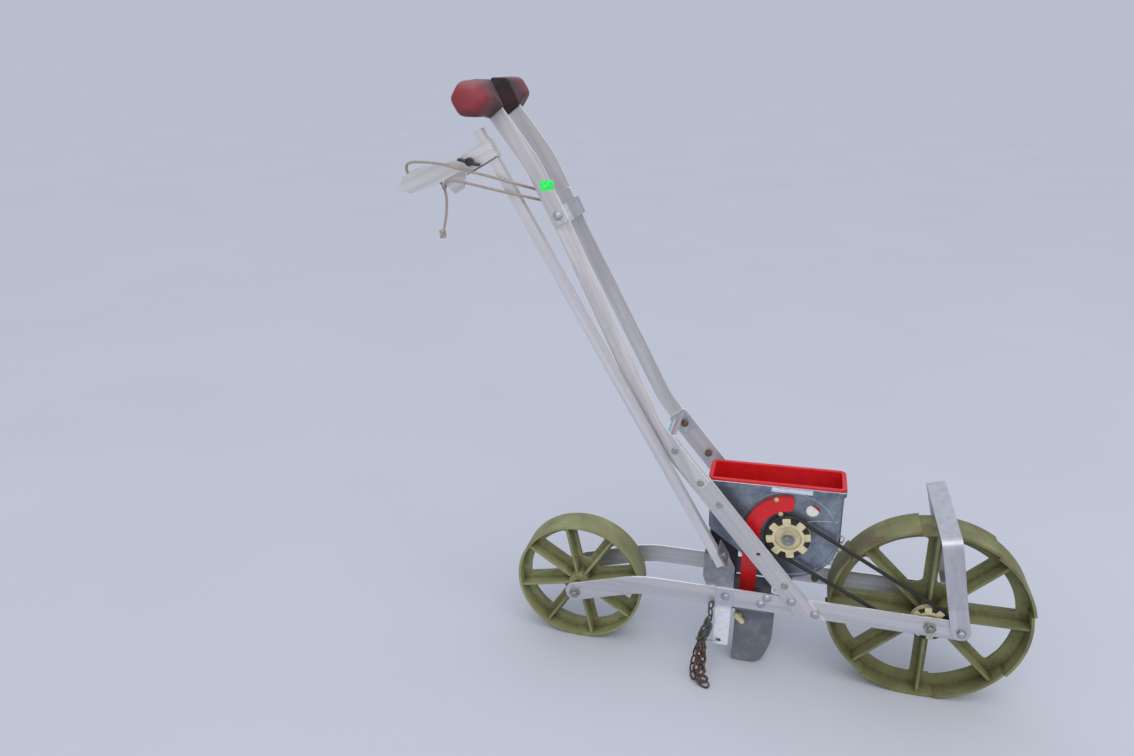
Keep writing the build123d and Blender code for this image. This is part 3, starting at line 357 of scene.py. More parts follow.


# %% Both wheels
# The rear wheel is the paler one, and the front wheel's deeper olives are partly painted shade.
# Little soil clings to the rear wheel's smooth tread
for wheel, deep, pale, soiling in (
    ("front_wheel", "64663F", "84865B", 0.8),
    ("rear_wheel", "73754B", "93956B", 0.2),
):
    low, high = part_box(wheel)
    axle = ((low[0] + high[0]) / 2, (low[2] + high[2]) / 2)
    radius = (high[0] - low[0]) / 2
    material = olive_polyethylene(wheel + "_polyethylene", axle, radius, deep, pale, soiling)
    dress(material, wheel)
    print(wheel, "radius:", round(radius, 4))

# %% [markdown]
# ## Flat aluminium bars
#
# The rails, handles and stand are mill-finish aluminium bar: drawn through a die, so its faint
# lines run along the bar. Weather took the shine and left a grey bloom with darker rubs. The
# lines need to follow each bar, so the material takes the bar's angle in the side view and
# turns its pattern by it. The upper faces of the bars and rails get a painted highlight, nearly
# white, and they are found by the way the surface faces.

# %% Mill-finish aluminium
def mill_aluminium(name, angle, bright="DAD7D6", dull="BDBBC0", top_highlight_shade=None):
    """Drawn aluminium bar whose lines run along an angle in the side view."""
    # A dull skin of oxide hides some of the metal, so the finish is only seven tenths metallic
    material, tree, shader, place = new_material(name, Metallic=0.7)
    turned = add_node(
        tree, "Mapping", {"Vector": place, "Rotation": (0, math.radians(angle), 0)}
    )
    stretched = add_node(
        tree, "Mapping", {"Vector": turned.outputs[0], "Scale": (0.02, 1.0, 1.0)}
    )
    # Real die lines are a tenth of a millimetre apart, and are drawn at 1.2 mm so that they show
    lines = add_node(
        tree,
        "TexNoise",
        {"Vector": stretched.outputs[0], "Scale": features_of(1.2), "Detail": 3.0},
    )
    # The bloom lies in streaks 9 mm wide, drawn out along the bar as the lines are
    bloom = add_node(
        tree,
        "TexNoise",
        {"Vector": stretched.outputs[0], "Scale": features_of(9), "Detail": 5.0, "Roughness": 0.6},
    )
    base = add_node(
        tree,
        "ValToRGB",
        {"Fac": bloom.outputs[0]},
        stops=[(0.3, colour(dull)), (0.65, colour(bright))],
    )
    lined = add_node(
        tree,
        "Mix",
        {0: 0.12, 6: base.outputs[0], 7: lines.outputs[1]},
        data_type="RGBA",
        blend_type="OVERLAY",
    )
    if top_highlight_shade:
        # A bar's sawn upper edge gets a painted highlight, brighter than its flat sides
        facing = add_node(tree, "NewGeometry")
        upness = add_node(tree, "SeparateXYZ", {0: facing.outputs["Normal"]})
        highlight_mask = add_node(
            tree, "MapRange", {"Value": upness.outputs[2], "From Min": 0.2, "From Max": 0.4}
        )
        lined = add_node(
            tree,
            "Mix",
            {0: highlight_mask.outputs[0], 6: lined.outputs[2], 7: colour(top_highlight_shade)},
            data_type="RGBA",
        )
    tree.links.new(lined.outputs[2], shader.inputs["Base Color"])
    rough = add_node(
        tree,
        "MapRange",
        {
            "Value": lines.outputs[0],
            "From Min": 0.3,
            "From Max": 0.7,
            "To Min": 0.36,
            "To Max": 0.52,
        },
    )
    tree.links.new(rough.outputs[0], shader.inputs["Roughness"])
    edge = add_node(tree, "Bevel", {"Radius": 0.0006}, samples=4)
    bump = add_node(
        tree,
        "Bump",
        {
            "Strength": 0.2,
            "Distance": 0.0002,
            "Height": lines.outputs[0],
            "Normal": edge.outputs[0],
        },
    )
    tree.links.new(bump.outputs[0], shader.inputs["Normal"])
    return material


# %% Bars and rails
# The near white of the bars' upper faces is a painted highlight
painted_top_highlight = "FCFCFD"
rail_metal = mill_aluminium("rail_aluminium", 0.7, "CFCED2", "B2B2B9", painted_top_highlight)
lower_metal = mill_aluminium("lower_bar_aluminium", 130.7, "D6D4D5", "B9B9BF", painted_top_highlight)
middle_metal = mill_aluminium("middle_bar_aluminium", 117.2, top_highlight_shade=painted_top_highlight)
upper_metal = mill_aluminium("upper_bar_aluminium", 122.0, top_highlight_shade=painted_top_highlight)
stand_metal = mill_aluminium("stand_aluminium", 104.3, "CBCBD0", "B8B9C0")
dress(rail_metal, "side_rail_left", "side_rail_right")
dress(lower_metal, "lower_handle_left", "lower_handle_right")
dress(middle_metal, "middle_handle_left", "middle_handle_right")
dress(upper_metal, "upper_handle_left", "upper_handle_right")
dress(mill_aluminium("marker_aluminium", 120.7, "DEDCDD", "BFBEC6"), "marker_arm")
dress(stand_metal, "folding_stand")

# %% [markdown]
# ## The tongue
#
# A strip is clipped over the near rail, and its end hangs down as a tongue. It is aluminium too,
# but the hanging end has been rubbed bright by the chain and is brighter still by a painted
# highlight, while the part on the rail is as dull as the rail. One material holds both: the
# height decides which shade shows, and a noise makes the border between them ragged.

# %% Tongue
tongue_metal, tree, shader, place = new_material(
    "tongue_aluminium", 0.0006, Metallic=0.6, Roughness=0.42
)
# The border between the two shades wanders by 4 mm, just below the rail
up = add_node(tree, "SeparateXYZ", {0: place})
rubs = add_node(
    tree, "TexNoise", {"Vector": place, "Scale": features_of(6), "Detail": 6.0}
)
ragged = add_node(
    tree, "Math", {0: rubs.outputs[0], 1: 0.004, 2: up.outputs[2]}, operation="MULTIPLY_ADD"
)
highlight_mask = add_node(
    tree, "MapRange", {"Value": ragged.outputs[0], "From Min": 0.117, "From Max": 0.125}
)
# Below the border the near-white shade is wear from the chain and a painted highlight
base = add_node(
    tree,
    "ValToRGB",
    {"Fac": highlight_mask.outputs[0]},
    stops=[(0.0, colour("F6F7FA")), (1.0, colour("CDCDD3"))],
)
spotted = add_node(
    tree,
    "Mix",
    {0: rubs.outputs[0], 6: base.outputs[0], 7: colour("D3D6DF")},
    data_type="RGBA",
    blend_type="MULTIPLY",
)
tree.links.new(spotted.outputs[2], shader.inputs["Base Color"])
dress(tongue_metal, "chain_bracket")

# %% [markdown]
# ## Galvanised sheet
#
# The hopper's shell and the small brackets are steel sheet dipped in zinc. The zinc freezes in
# flat crystals, called spangle, each at its own angle, and grows dull and stained outdoors. A
# cell pattern gives each crystal one grey, and a slow noise lays the stains over it.

# %% Galvanised sheet
def galvanised(name, bright="939DA8", dull="636E7C"):
    """Zinc-dipped sheet with spangle and stains."""
    material, tree, shader, place = new_material(name, 0.0005, Metallic=0.8)
    # Crystals are some 6 mm across, and stains 30 mm. Dull zinc isn't wholly metallic
    spangle = add_node(tree, "TexVoronoi", {"Vector": place, "Scale": features_of(6)})
    stains = add_node(
        tree,
        "TexNoise",
        {"Vector": place, "Scale": features_of(30), "Detail": 6.0, "Roughness": 0.65},
    )
    crystal = add_node(tree, "RGBToBW", {"Color": spangle.outputs["Color"]})
    amount = add_node(
        tree,
        "Math",
        {0: crystal.outputs[0], 1: 0.25, 2: stains.outputs[0]},
        operation="MULTIPLY_ADD",
    )
    base = add_node(
        tree,
        "ValToRGB",
        {"Fac": amount.outputs[0]},
        stops=[(0.35, colour(dull)), (0.85, colour(bright))],
    )
    tree.links.new(base.outputs[0], shader.inputs["Base Color"])
    rough = add_node(
        tree,
        "MapRange",
        {
            "Value": amount.outputs[0],
            "From Min": 0.3,
            "From Max": 0.9,
            "To Min": 0.5,
            "To Max": 0.34,
        },
    )
    tree.links.new(rough.outputs[0], shader.inputs["Roughness"])
    return material


# %% Hopper shell, brackets and blade
shell_metal = galvanised("galvanised_shell")
bracket_metal = galvanised("galvanised_bracket", "A0A3A8", "73777F")
bright_zinc = galvanised("bright_galvanised", "D6D8DC", "B0B3BA")
dress(shell_metal, "hopper_shell")
dress(bracket_metal, "hopper_cradle", "opener_bracket", "marker_bracket")
dress(bright_zinc, "handle_spacer_lower", "handle_spacer_upper")
blade_metal = mill_aluminium("blade_aluminium", 25, "E0DEDC", "C2C1C4")
dress(blade_metal, "marker_clamp", "marker_blade")

# %% [markdown]
# ## Moulded plastics and rubber
#
# The tub and chute are bright red polypropylene, the pulleys cream nylon, the seed plate white
# and the wing bolt dark. They are all injection moulded, so they share one recipe with their own
# colours, roughness and dirt: a fresh colour, a worn one in patches, and a dark brown where the
# surface is hemmed in, which is dirt and painted shade. The belt is rubber, nearly black and
# matt, and the shoe has a grey coat of paint; the same recipe serves both.

# %% Moulded plastic
def moulded_plastic(name, fresh, worn, roughness, worn_share=0.5, patch_mm=14):
    """Injection-moulded plastic with a worn or soiled second colour in patches."""
    material, tree, shader, place = new_material(name, 0.0006, Roughness=roughness, IOR=1.5)
    patches = add_node(
        tree,
        "TexNoise",
        {"Vector": place, "Scale": features_of(patch_mm), "Detail": 7.0, "Roughness": 0.6},
    )
    amount = add_node(
        tree,
        "ValToRGB",
        {"Fac": patches.outputs[0]},
        stops=[(0.45, (0, 0, 0, 1)), (0.7, (worn_share, worn_share, worn_share, 1))],
    )
    base = add_node(
        tree,
        "Mix",
        {0: amount.outputs[0], 6: colour(fresh), 7: colour(worn)},
        data_type="RGBA",
    )
    # Brown dirt and painted shade darken what lies within 8 mm of a corner
    corner = add_node(tree, "AmbientOcclusion", {"Distance": 0.008}, samples=8)
    dirt_and_shade = add_node(
        tree,
        "MapRange",
        {
            "Value": corner.outputs["AO"],
            "From Min": 0.2,
            "From Max": 0.8,
            "To Min": 0.5,
            "To Max": 0.0,
        },
    )
    soiled_and_shaded = add_node(
        tree,
        "Mix",
        {0: dirt_and_shade.outputs[0], 6: base.outputs[2], 7: colour("3A332A")},
        data_type="RGBA",
    )
    tree.links.new(soiled_and_shaded.outputs[2], shader.inputs["Base Color"])
    return material


# %% Plastic pieces, belt and shoe
red_plastic = moulded_plastic("red_polypropylene", "D0171D", "B4121A", 0.4, 0.7)
cream_nylon = moulded_plastic("cream_nylon", "D3CBA4", "B0A47C", 0.45, 0.8, 9)
dress(red_plastic, "hopper_liner", "seed_chute")
dress(cream_nylon, "front_pulley", "seed_pulley", "shoe_knob")
dress(moulded_plastic("white_plastic", "EBEAE6", "CFCBC2", 0.45, 0.6, 9), "seed_plate")
dress(moulded_plastic("dark_nylon", "2C2D2C", "4A4A45", 0.5), "marker_wing_bolt")
belt_rubber = moulded_plastic("belt_rubber", "1B1B1C", "2E2D2B", 0.6)
dress(belt_rubber, "drive_belt")
dress(moulded_plastic("shoe_coating", "636972", "82878C", 0.45, 0.7, 20), "opener_shoe")

# %% [markdown]
# ## The grips
#
# The grips are dipped vinyl, red when new. Hands have polished the tops to a grey mauve, made
# lighter still by a painted highlight. The outer ends kept their red under dust, the undersides
# are darkened with painted shade, and the inner ends are nearly black. These zones follow the
# grip's own form. They could be painted by hand, but the distance from the machine's middle and
# the way the surface faces give them both.

# %% Worn vinyl
grip_vinyl, tree, shader, place = new_material("grip_vinyl", Roughness=0.5, IOR=1.5)
ragged = add_node(
    tree, "TexNoise", {"Vector": place, "Scale": features_of(16), "Detail": 8.0, "Roughness": 0.65}
)
# From the black inner ends to the red outer ones, by the distance from the middle
across = add_node(tree, "SeparateXYZ", {0: place})
out = add_node(tree, "Math", {0: across.outputs[1]}, operation="ABSOLUTE")
ragged_out = add_node(
    tree, "Math", {0: ragged.outputs[0], 1: 0.03, 2: out.outputs[0]}, operation="MULTIPLY_ADD"
)
zones = add_node(
    tree,
    "MapRange",
    {"Value": ragged_out.outputs[0], "From Min": 0.045, "From Max": 0.115},
)
body_red = add_node(
    tree,
    "ValToRGB",
    {"Fac": zones.outputs[0]},
    stops=[
        (0.02, colour("17100F")),
        (0.1, colour("38191C")),
        (0.45, colour("512226")),
        (0.7, colour("7A2229")),
        (0.95, colour("8A2D34")),
    ],
)
# Tops are polished by hands and lightened by a painted highlight, and what faces down gets painted
# shade
facing_way = add_node(tree, "NewGeometry")
upness = add_node(tree, "SeparateXYZ", {0: facing_way.outputs["Normal"]})
topped = add_node(
    tree,
    "MapRange",
    {"Value": upness.outputs[2], "From Min": 0.35, "From Max": 0.9, "To Max": 0.75},
)
worn_and_highlit_top = add_node(
    tree, "Math", {0: topped.outputs[0], 1: ragged.outputs[0]}, operation="MULTIPLY"
)
polished_and_highlit = add_node(
    tree,
    "Mix",
    {0: worn_and_highlit_top.outputs[0], 6: body_red.outputs[0], 7: colour("8A7478")},
    data_type="RGBA",
)
underside_shade = add_node(
    tree,
    "MapRange",
    {"Value": upness.outputs[2], "From Min": -0.2, "From Max": -0.8, "To Max": 0.6},
)
shaded_vinyl = add_node(
    tree,
    "Mix",
    {0: underside_shade.outputs[0], 6: polished_and_highlit.outputs[2], 7: colour("2C2022")},
    data_type="RGBA",
)
tree.links.new(shaded_vinyl.outputs[2], shader.inputs["Base Color"])
# Dipped vinyl has a grain of a third of a millimetre, drawn at 0.9 mm so that it shows
grain = add_node(
    tree, "TexNoise", {"Vector": place, "Scale": features_of(0.9), "Detail": 2.0}
)
edge = add_node(tree, "Bevel", {"Radius": 0.0015}, samples=4)
bump = add_node(
    tree,
    "Bump",
    {"Strength": 0.3, "Distance": 0.0003, "Height": grain.outputs[0], "Normal": edge.outputs[0]},
)
tree.links.new(bump.outputs[0], shader.inputs["Normal"])
print("grip material:", grip_vinyl.name)

# %% [markdown]
# ## Softening the grips
#
# A dipped grip has no sharp edge anywhere, but its CAD solid is cut from plane faces. A bevel
# would round each edge by the same amount. Smoothing rounds the whole knob instead, so a copy of
# the solid is remeshed into small even cells and then smoothed in stages, most of all far from
# the bar. The sleeve that fits round the bar is left alone.

# %% Softened grips
cell_size = 0.0011
# Each stage smooths what lies beyond a distance from the middle, a number of times
smoothing_stages = ((0.0405, 8), (0.044, 16), (0.048, 60))


def softened(name):
    """A copy of a CAD grip whose knob is rounded off, as it leaves the mould."""
    bm = bmesh.new()
    bm.from_mesh(nodes[name].data)
    bmesh.ops.remove_doubles(bm, verts=bm.verts, dist=1e-6)
    form = bpy.data.meshes.new(name + "_form")
    bm.to_mesh(form)
    bm.free()
    holder = bpy.data.objects.new(name + "_form", form)
    bpy.context.scene.collection.objects.link(holder)
    even = holder.modifiers.new("even_mesh", "REMESH")
    even.mode = "VOXEL"
    even.voxel_size = cell_size
    graph = bpy.context.evaluated_depsgraph_get()
    skin = bpy.data.meshes.new_from_object(holder.evaluated_get(graph))
    bpy.data.objects.remove(holder)
    bm = bmesh.new()
    bm.from_mesh(skin)
    for start, rounds in smoothing_stages:
        knob = [vert for vert in bm.verts if abs(vert.co.y) > start]
        for _ in range(rounds):
            bmesh.ops.smooth_vert(
                bm, verts=knob, factor=0.5, use_axis_x=True, use_axis_y=True, use_axis_z=True
            )
    for face in bm.faces:
        face.smooth = True
    bm.to_mesh(skin)
    bm.free()
    return skin


for name in ("grip_left", "grip_right"):
    piece = show("soft_" + name, softened(name), "frame", grip_vinyl)
    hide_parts(name)

# %% [markdown]
# ## Zinc-plated steel
#
# Axles, pins and bolts are plated steel that has lost its brightness. Small brown spots show
# where the plating has gone. One noise at the size of those spots, with a sharp step between
# grey and brown, is all that such small pieces need.

# %% Zinc-plated steel
zinc_shades = [(0.5, "9C9F98"), (0.72, "6B5A48")]
zinc_plate = mottled("zinc_plate", 4, 6.0, zinc_shades, 0.0005, Metallic=0.9, Roughness=0.42)
dress(zinc_plate, "front_axle", "rear_axle", "stand_pins", "marker_pin", "seed_shaft")

# %% [markdown]
# ## Rusty chain steel
#
# The chain was never plated well. Above its wire the links kept a green-grey tarnish; below it,
# near wet ground, they rusted brown. Two browns in a noise make the rust, and the height lays
# the tarnish over it.

# %% Rusty chain steel
rust, tree, shader, place = new_material("rusty_steel", Metallic=0.4, Roughness=0.7)
scale_noise = add_node(
    tree, "TexNoise", {"Vector": place, "Scale": features_of(5), "Detail": 6.0}
)
base = add_node(
    tree,
    "ValToRGB",
    {"Fac": scale_noise.outputs[0]},
    stops=[(0.35, colour("332C2B")), (0.65, colour("6E5548"))],
)
# The tarnish comes in between 50 and 85 mm above the ground
up = add_node(tree, "SeparateXYZ", {0: place})
height = add_node(
    tree, "MapRange", {"Value": up.outputs[2], "From Min": 0.05, "From Max": 0.085, "To Max": 0.8}
)
tarnished = add_node(
    tree,
    "Mix",
    {0: height.outputs[0], 6: base.outputs[0], 7: colour("56605A")},
    data_type="RGBA",
)
tree.links.new(tarnished.outputs[2], shader.inputs["Base Color"])
dress(rust, "drag_chain")

# %% [markdown]
# ## The rope
#
# The marker's rope is twisted natural fibre, three strands laid together. It is a curve in
# space first: the same route as the CAD rope, held by a smooth spline. A plain tube with a
# twisted bump would do from afar, but real strands give the rope its knobbly outline, so they
# are wound round points read from that spline and follow it exactly.

# %% Rope route
rope_route = [
    (-0.396, -0.0645, 0.664),
    (-0.3905, -0.0645, 0.681),
    (-0.3877, -0.0645, 0.704),
    (-0.3877, -0.0645, 0.716),
    (-0.3905, -0.0645, 0.728),
    (-0.397, -0.0645, 0.737),
    (-0.415, -0.0645, 0.7392),
    (-0.4372, -0.0645, 0.738),
    (-0.4444, -0.067, 0.7495),
    (-0.4372, -0.076, 0.7605),
    (-0.419, -0.0795, 0.7626),
    (-0.402, -0.0804, 0.7622),
    (-0.384, -0.0806, 0.7611),
    (-0.366, -0.0808, 0.7567),
    (-0.345, -0.0808, 0.7524),
    (-0.32, -0.0795, 0.7476),
    (-0.298, -0.0786, 0.7425),
    (-0.286, -0.0786, 0.7398),
    (-0.28, -0.072, 0.737),
    (-0.2775, -0.06, 0.7338),
    (-0.2785, -0.047, 0.731),
    (-0.2795, -0.037, 0.729),
    (-0.2765, -0.03, 0.7267),
    (-0.269, -0.0272, 0.7245),
    (-0.254, -0.027, 0.7245),
    (-0.2498, -0.027, 0.7203),
    (-0.2498, -0.027, 0.7143),
    (-0.254, -0.027, 0.7101),
    (-0.262, -0.0272, 0.7103),
    (-0.2695, -0.03, 0.7122),
    (-0.2725, -0.037, 0.7144),
    (-0.2715, -0.048, 0.7168),
    (-0.2705, -0.062, 0.7197),
    (-0.273, -0.0735, 0.7227),
    (-0.279, -0.079, 0.7248),
    (-0.294, -0.0786, 0.7271),
    (-0.308, -0.0786, 0.7293),
    (-0.334, -0.0785, 0.7339),
    (-0.36, -0.0785, 0.7387),
    (-0.374, -0.0776, 0.7404),
    (-0.3825, -0.0756, 0.7368),
    (-0.3885, -0.0718, 0.731),
]


def along_spline(points, steps):
    """Places along a smooth spline through a route, read from a curve with no thickness."""
    curve = bpy.data.curves.new("route", "CURVE")
    curve.dimensions = "3D"
    curve.resolution_u = steps
    spline = curve.splines.new("NURBS")
    spline.points.add(len(points) - 1)
    for point, place in zip(spline.points, points):
        point.co = (*place, 1.0)
    spline.order_u = 3
    spline.use_endpoint_u = True
    holder = bpy.data.objects.new("route", curve)
    mesh = bpy.data.meshes.new_from_object(holder)
    places = [vertex.co.copy() for vertex in mesh.vertices]
    bpy.data.objects.remove(holder)
    bpy.data.curves.remove(curve)
    bpy.data.meshes.remove(mesh)
    return places


rope_line = along_spline(rope_route, 12)

# %% Rope strands
def wound_strand(line, turn_length, reach, start):
    """Places wound round a line at a reach, one turn in each turn length."""
    across = Vector((0, 1, 0))
    places = []
    travelled = 0.0
    for index, here in enumerate(line):
        ahead = line[min(index + 1, len(line) - 1)] - line[max(index - 1, 0)]
        ahead.normalize()
        across = (across - ahead * across.dot(ahead)).normalized()
        if index:
            travelled += (here - line[index - 1]).length
        turn = start + 2 * math.pi * travelled / turn_length
        side = Matrix.Rotation(turn, 3, ahead) @ across
        places.append(here + side * reach)
    return places


def tube_mesh(name, lines, radius, sides):
    """Round tubes along lists of places, joined in one mesh."""
    curve = bpy.data.curves.new(name, "CURVE")
    curve.dimensions = "3D"
    curve.bevel_depth = radius
    curve.bevel_resolution = sides
    curve.use_fill_caps = True
    for line in lines:
        spline = curve.splines.new("POLY")
        spline.points.add(len(line) - 1)
        for point, place in zip(spline.points, line):
            point.co = (*place, 1.0)
    holder = bpy.data.objects.new(name, curve)
    mesh = bpy.data.meshes.new_from_object(holder)
    bpy.data.objects.remove(holder)
    bpy.data.curves.remove(curve)
    mesh.name = name
    return mesh


# %% Fibre and strands
# A turn of the lay is 11 mm long, and each strand's middle runs about 1 mm off the rope's
lay_length, strand_reach, strand_radius = 0.011, 0.00095, 0.00105
# Single fibres are a tenth of a millimetre thick, so tufts of 1.5 mm stand for them. Dry fibre
# scatters light, which leaves it no gleam at all
fibre_shades = [(0.3, "8A7E75"), (0.7, "BCB0A5")]
rope_fibre = mottled("rope_fibre", 1.5, 6.0, fibre_shades, Roughness=0.85)
strands = [
    wound_strand(rope_line, lay_length, strand_reach, 2 * math.pi * share / 3)
    for share in range(3)
]
rope_mesh = tube_mesh("rope_strands", strands, strand_radius, 2)
rope = show("rope_strands", rope_mesh, "marker", rope_fibre)
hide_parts("marker_rope")

# %% [markdown]
# ## The knots
#
# The rope ends in an overhand knot, and a second knot closes its loop behind the blade. A ball
# would hide what a knot is. The closed line of a trefoil passes over and under itself three
# times, as a pulled-tight overhand knot does, and a tube along it crowds into a small hard lump.

# %% Knots
knot_steps, knot_rope_radius = 60, 0.0018


def knot_line(place, reach, height):
    """A rope tied over and under itself three times, as a closed line about a place."""
    places = []
    for step in range(knot_steps + 1):
        turn = 2 * math.pi * step / knot_steps
        places.append(
            Vector(place)
            + Vector(
                (
                    reach * (math.sin(turn) + 2 * math.sin(2 * turn)) / 3,
                    reach * (math.cos(turn) - 2 * math.cos(2 * turn)) / 3,
                    -height * math.sin(3 * turn),
                )
            )
        )
    return places


# The first knot is at the rope's free end, and the second lies behind the blade
knot_lines = [
    knot_line(rope_route[0], 0.0035, 0.0042),
    knot_line((-0.389, -0.068, 0.730), 0.0024, 0.0022),
]
knot_mesh = tube_mesh("rope_knots", knot_lines, knot_rope_radius, 2)
knots = show("rope_knots", knot_mesh, "marker", rope_fibre)
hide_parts("rope_knot")

# %% The rope and its knots get meshes of their own
for soft in (rope, knots):
    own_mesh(soft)

# %% [markdown]
# ## Bolts and nuts
#
# Round-headed bolts hold the bars from outside, and their nuts show between the bars. A head
# could be a squashed ball, but a real one has a washer, a short straight rim and a low dome. So
# its outline is drawn from the middle outwards and spun round, as on a lathe, and a nut is a
# six-sided bar with its corners turned off and the bolt's thread standing out of it. Each shape
# is made once and then stamped wherever the machine has one.

# %% A place on the machine
axle_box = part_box("front_axle")
front_axle_x = (axle_box[0][0] + axle_box[1][0]) / 2
near_side, far_side = (0, -1, 0), (0, 1, 0)
print("front axle at x:", round(front_axle_x, 4))


def machine(x, y, z):
    """A place in metres, from millimetres forward of the front axle, to the left and up."""
    return Vector((front_axle_x + x / 1000, y / 1000, z / 1000))


def finished_mesh(name, bm):
    """Closes a shape being made, turns its faces outwards and keeps it as a mesh."""
    bmesh.ops.remove_doubles(bm, verts=bm.verts, dist=1e-6)
    bmesh.ops.recalc_face_normals(bm, faces=bm.faces)
    mesh = bpy.data.meshes.new(name)
    bm.to_mesh(mesh)
    bm.free()
    return mesh


# %% Turned shapes
def turned(name, profile, steps=20):
    """A profile of radii and heights in millimetres, spun about its upright axis."""
    bm = bmesh.new()
    verts = [bm.verts.new((radius / 1000, 0, height / 1000)) for radius, height in profile]
    edges = [bm.edges.new(pair) for pair in zip(verts, verts[1:])]
    bmesh.ops.spin(
        bm,
        geom=verts + edges,
        cent=(0, 0, 0),
        axis=(0, 0, 1),
        dvec=(0, 0, 0),
        angle=2 * math.pi,
        steps=steps,
        use_merge=True,
    )
    return finished_mesh(name, bm)


# %% Nuts
def hex_nut(name, flats, height, thread):
    """A nut with its outer corners cut, and the end of a bolt that stands 2 mm out of it."""
    bm = bmesh.new()
    reach = flats / math.sqrt(3) / 1000
    top = height / 1000
    bmesh.ops.create_cone(
        bm, cap_ends=True, segments=6, radius1=reach, radius2=reach, depth=top
    )
    bmesh.ops.translate(bm, verts=bm.verts, vec=(0, 0, top / 2))
    outer = [edge for edge in bm.edges if all(end.co.z > top * 0.9 for end in edge.verts)]
    bmesh.ops.bevel(
        bm, geom=outer, affect="EDGES", offset=0.0009, segments=2, profile=0.5, material=-1
    )
    bolt_end = [
        (0, height - 1),
        (thread, height - 1),
        (thread, height + 1.4),
        (thread - 0.7, height + 2),
        (0, height + 2),
    ]
    bm.from_mesh(turned(name + "_thread", bolt_end, 14))
    return finished_mesh(name, bm)


# %% Copies in many places
def stamped(name, shape, places):
    """One mesh with a copy of a shape at each place, standing along its outward direction."""
    bm = bmesh.new()
    for place, outward in places:
        before = len(bm.verts)
        bm.from_mesh(shape)
        bm.verts.ensure_lookup_table()
        turn = Vector((0, 0, 1)).rotation_difference(Vector(outward)).to_matrix().to_4x4()
        bmesh.ops.transform(
            bm, matrix=Matrix.Translation(place) @ turn, verts=bm.verts[before:]
        )
    return finished_mesh(name, bm)


def both_sides(spots, inward=False):
    """Places and directions on both sides of the machine, from the left side's spots."""
    places = []
    for x, y, z in spots:
        for side in (-1, 1):
            places.append((machine(x, side * y, z), (0, -side if inward else side, 0)))
    return places


# %% The fasteners
rail_y, lower_y, middle_y, upper_y = 48.5, 51.5, 54.5, 38.5
domed_spots = [
    (-192, lower_y, 148),
    (-157, lower_y, 132),
    (-227, rail_y, 146),
    (-235, rail_y, 134),
    (-551.9, upper_y, 693.2),
]
flat_spots = [
    (-306, lower_y, 292),
    (-204, lower_y, 173),
    (-374, middle_y, 371),
    (-335, middle_y, 325),
]
nut_spots = [
    (-192, 45.5, 148),
    (-157, 45.5, 132),
    (-227, 45.5, 146),
    (-235, 45.5, 134),
    (-287, 43.4, 139),
    (-306, 48.5, 292),
    (-374, 46.4, 371),
    (-335, 48.5, 325),
    (-551.9, 30.4, 693.2),
]
print("heads on each side:", len(domed_spots + flat_spots), "nuts:", len(nut_spots))

# %% Shapes of the heads
dome_profile = [(0, 0), (7, 0), (7, 0.8), (5.4, 0.9), (5.2, 1.8), (4.3, 2.9), (2.5, 3.7), (0, 4)]
button_profile = [(0, 0), (5.2, 0), (5.2, 0.8), (4.6, 1.4), (3.4, 1.6), (1.2, 1.5), (0, 1.2)]
dome = turned("dome", dome_profile)
button = turned("button", button_profile)
nut = hex_nut("nut", 10.5, 4.2, 2.9)
print("faces of dome, button, nut:", [len(shape.polygons) for shape in (dome, button, nut)])

# %% Heads and nuts in their places
chain_bolt = [(machine(-287, -50.6, 139), near_side), (machine(-287, 48.5, 139), far_side)]
# The domed heads are bright plated steel with a turned face, whose fine lines are those of a
# drawn bar. The flat ones have gone dull and greenish, as zinc does, and share its recipe
bright_steel = mill_aluminium("bright_bolt_steel", 40, "BEC0C6", "979AA3")
green_steel = galvanised("dull_bolt_steel", "AFB4AB", "868C83")
show(
    "domed_bolt_heads",
    stamped("domed_bolt_heads", dome, both_sides(domed_spots) + chain_bolt),
    "frame",
    bright_steel,
)
show(
    "flat_bolt_heads",
    stamped("flat_bolt_heads", button, both_sides(flat_spots)),
    "frame",
    green_steel,
)
# The nuts are browned all over, and old grease hides what metal is left, so the recipe of the
# plastics, which has no metal in it, suits them
brown_nut = moulded_plastic("browned_nut_steel", "6B5A48", "4A4038", 0.45, 0.8, 4)
show(
    "inner_nuts",
    stamped("inner_nuts", nut, both_sides(nut_spots, True)),
    "frame",
    brown_nut,
)

# %% Ends of the axles and pins
front_axle_z, rear_axle_x, rear_axle_z = 139.4, -520.7, 101.6
axle_ends = both_sides([(0, 53, front_axle_z), (rear_axle_x, 53, rear_axle_z)])
end_shape = turned("bolt_end", [(0, -0.5), (3.9, -0.5), (3.9, 2.0), (3.1, 2.8), (0, 2.8)], 16)
show("axle_ends", stamped("axle_ends", end_shape, axle_ends), "frame", zinc_plate)
pin_cap = turned("pin_cap", [(0, -0.5), (4.7, -0.5), (4.7, 0.6), (3.6, 1.5), (1.6, 1.9), (0, 2)])
pin_caps = stamped("stand_pin_caps", pin_cap, both_sides([(41, 55.8, 139.9)]))
show("stand_pin_caps", pin_caps, "frame", bright_steel)

# %% [markdown]
# ## Screws, a washer and dark gaps
#
# Three hexagon screws close the hopper's front, two tan nylon ones hold the chute, and a washer
# keeps the seed wheel on its shaft. The functions for bolts and nuts make them too. Between the
# teeth of each cream wheel the belt's black rubber shows, deep in shade. The CAD belt fills only
# a part of its groove, so a thin dark ring behind the teeth gives that look: the belt, and
# painted shade.

# %% Hopper screws
# The hopper's front is a drum round the seed shaft, so its screws point away from that shaft
seed_x, seed_z = -206, 246
drum_radius = 72.5
front_screws = []
for x, z in ((-130, 245), (-145, 208), (-133, 229)):
    away = Vector((x - seed_x, 0, z - seed_z)).normalized()
    foot = Vector((seed_x, -20, seed_z)) + away * drum_radius
    front_screws.append((machine(*foot), away))
hopper_screws = stamped("hopper_screws", nut, front_screws)
show("hopper_screws", hopper_screws, "frame", bright_steel)

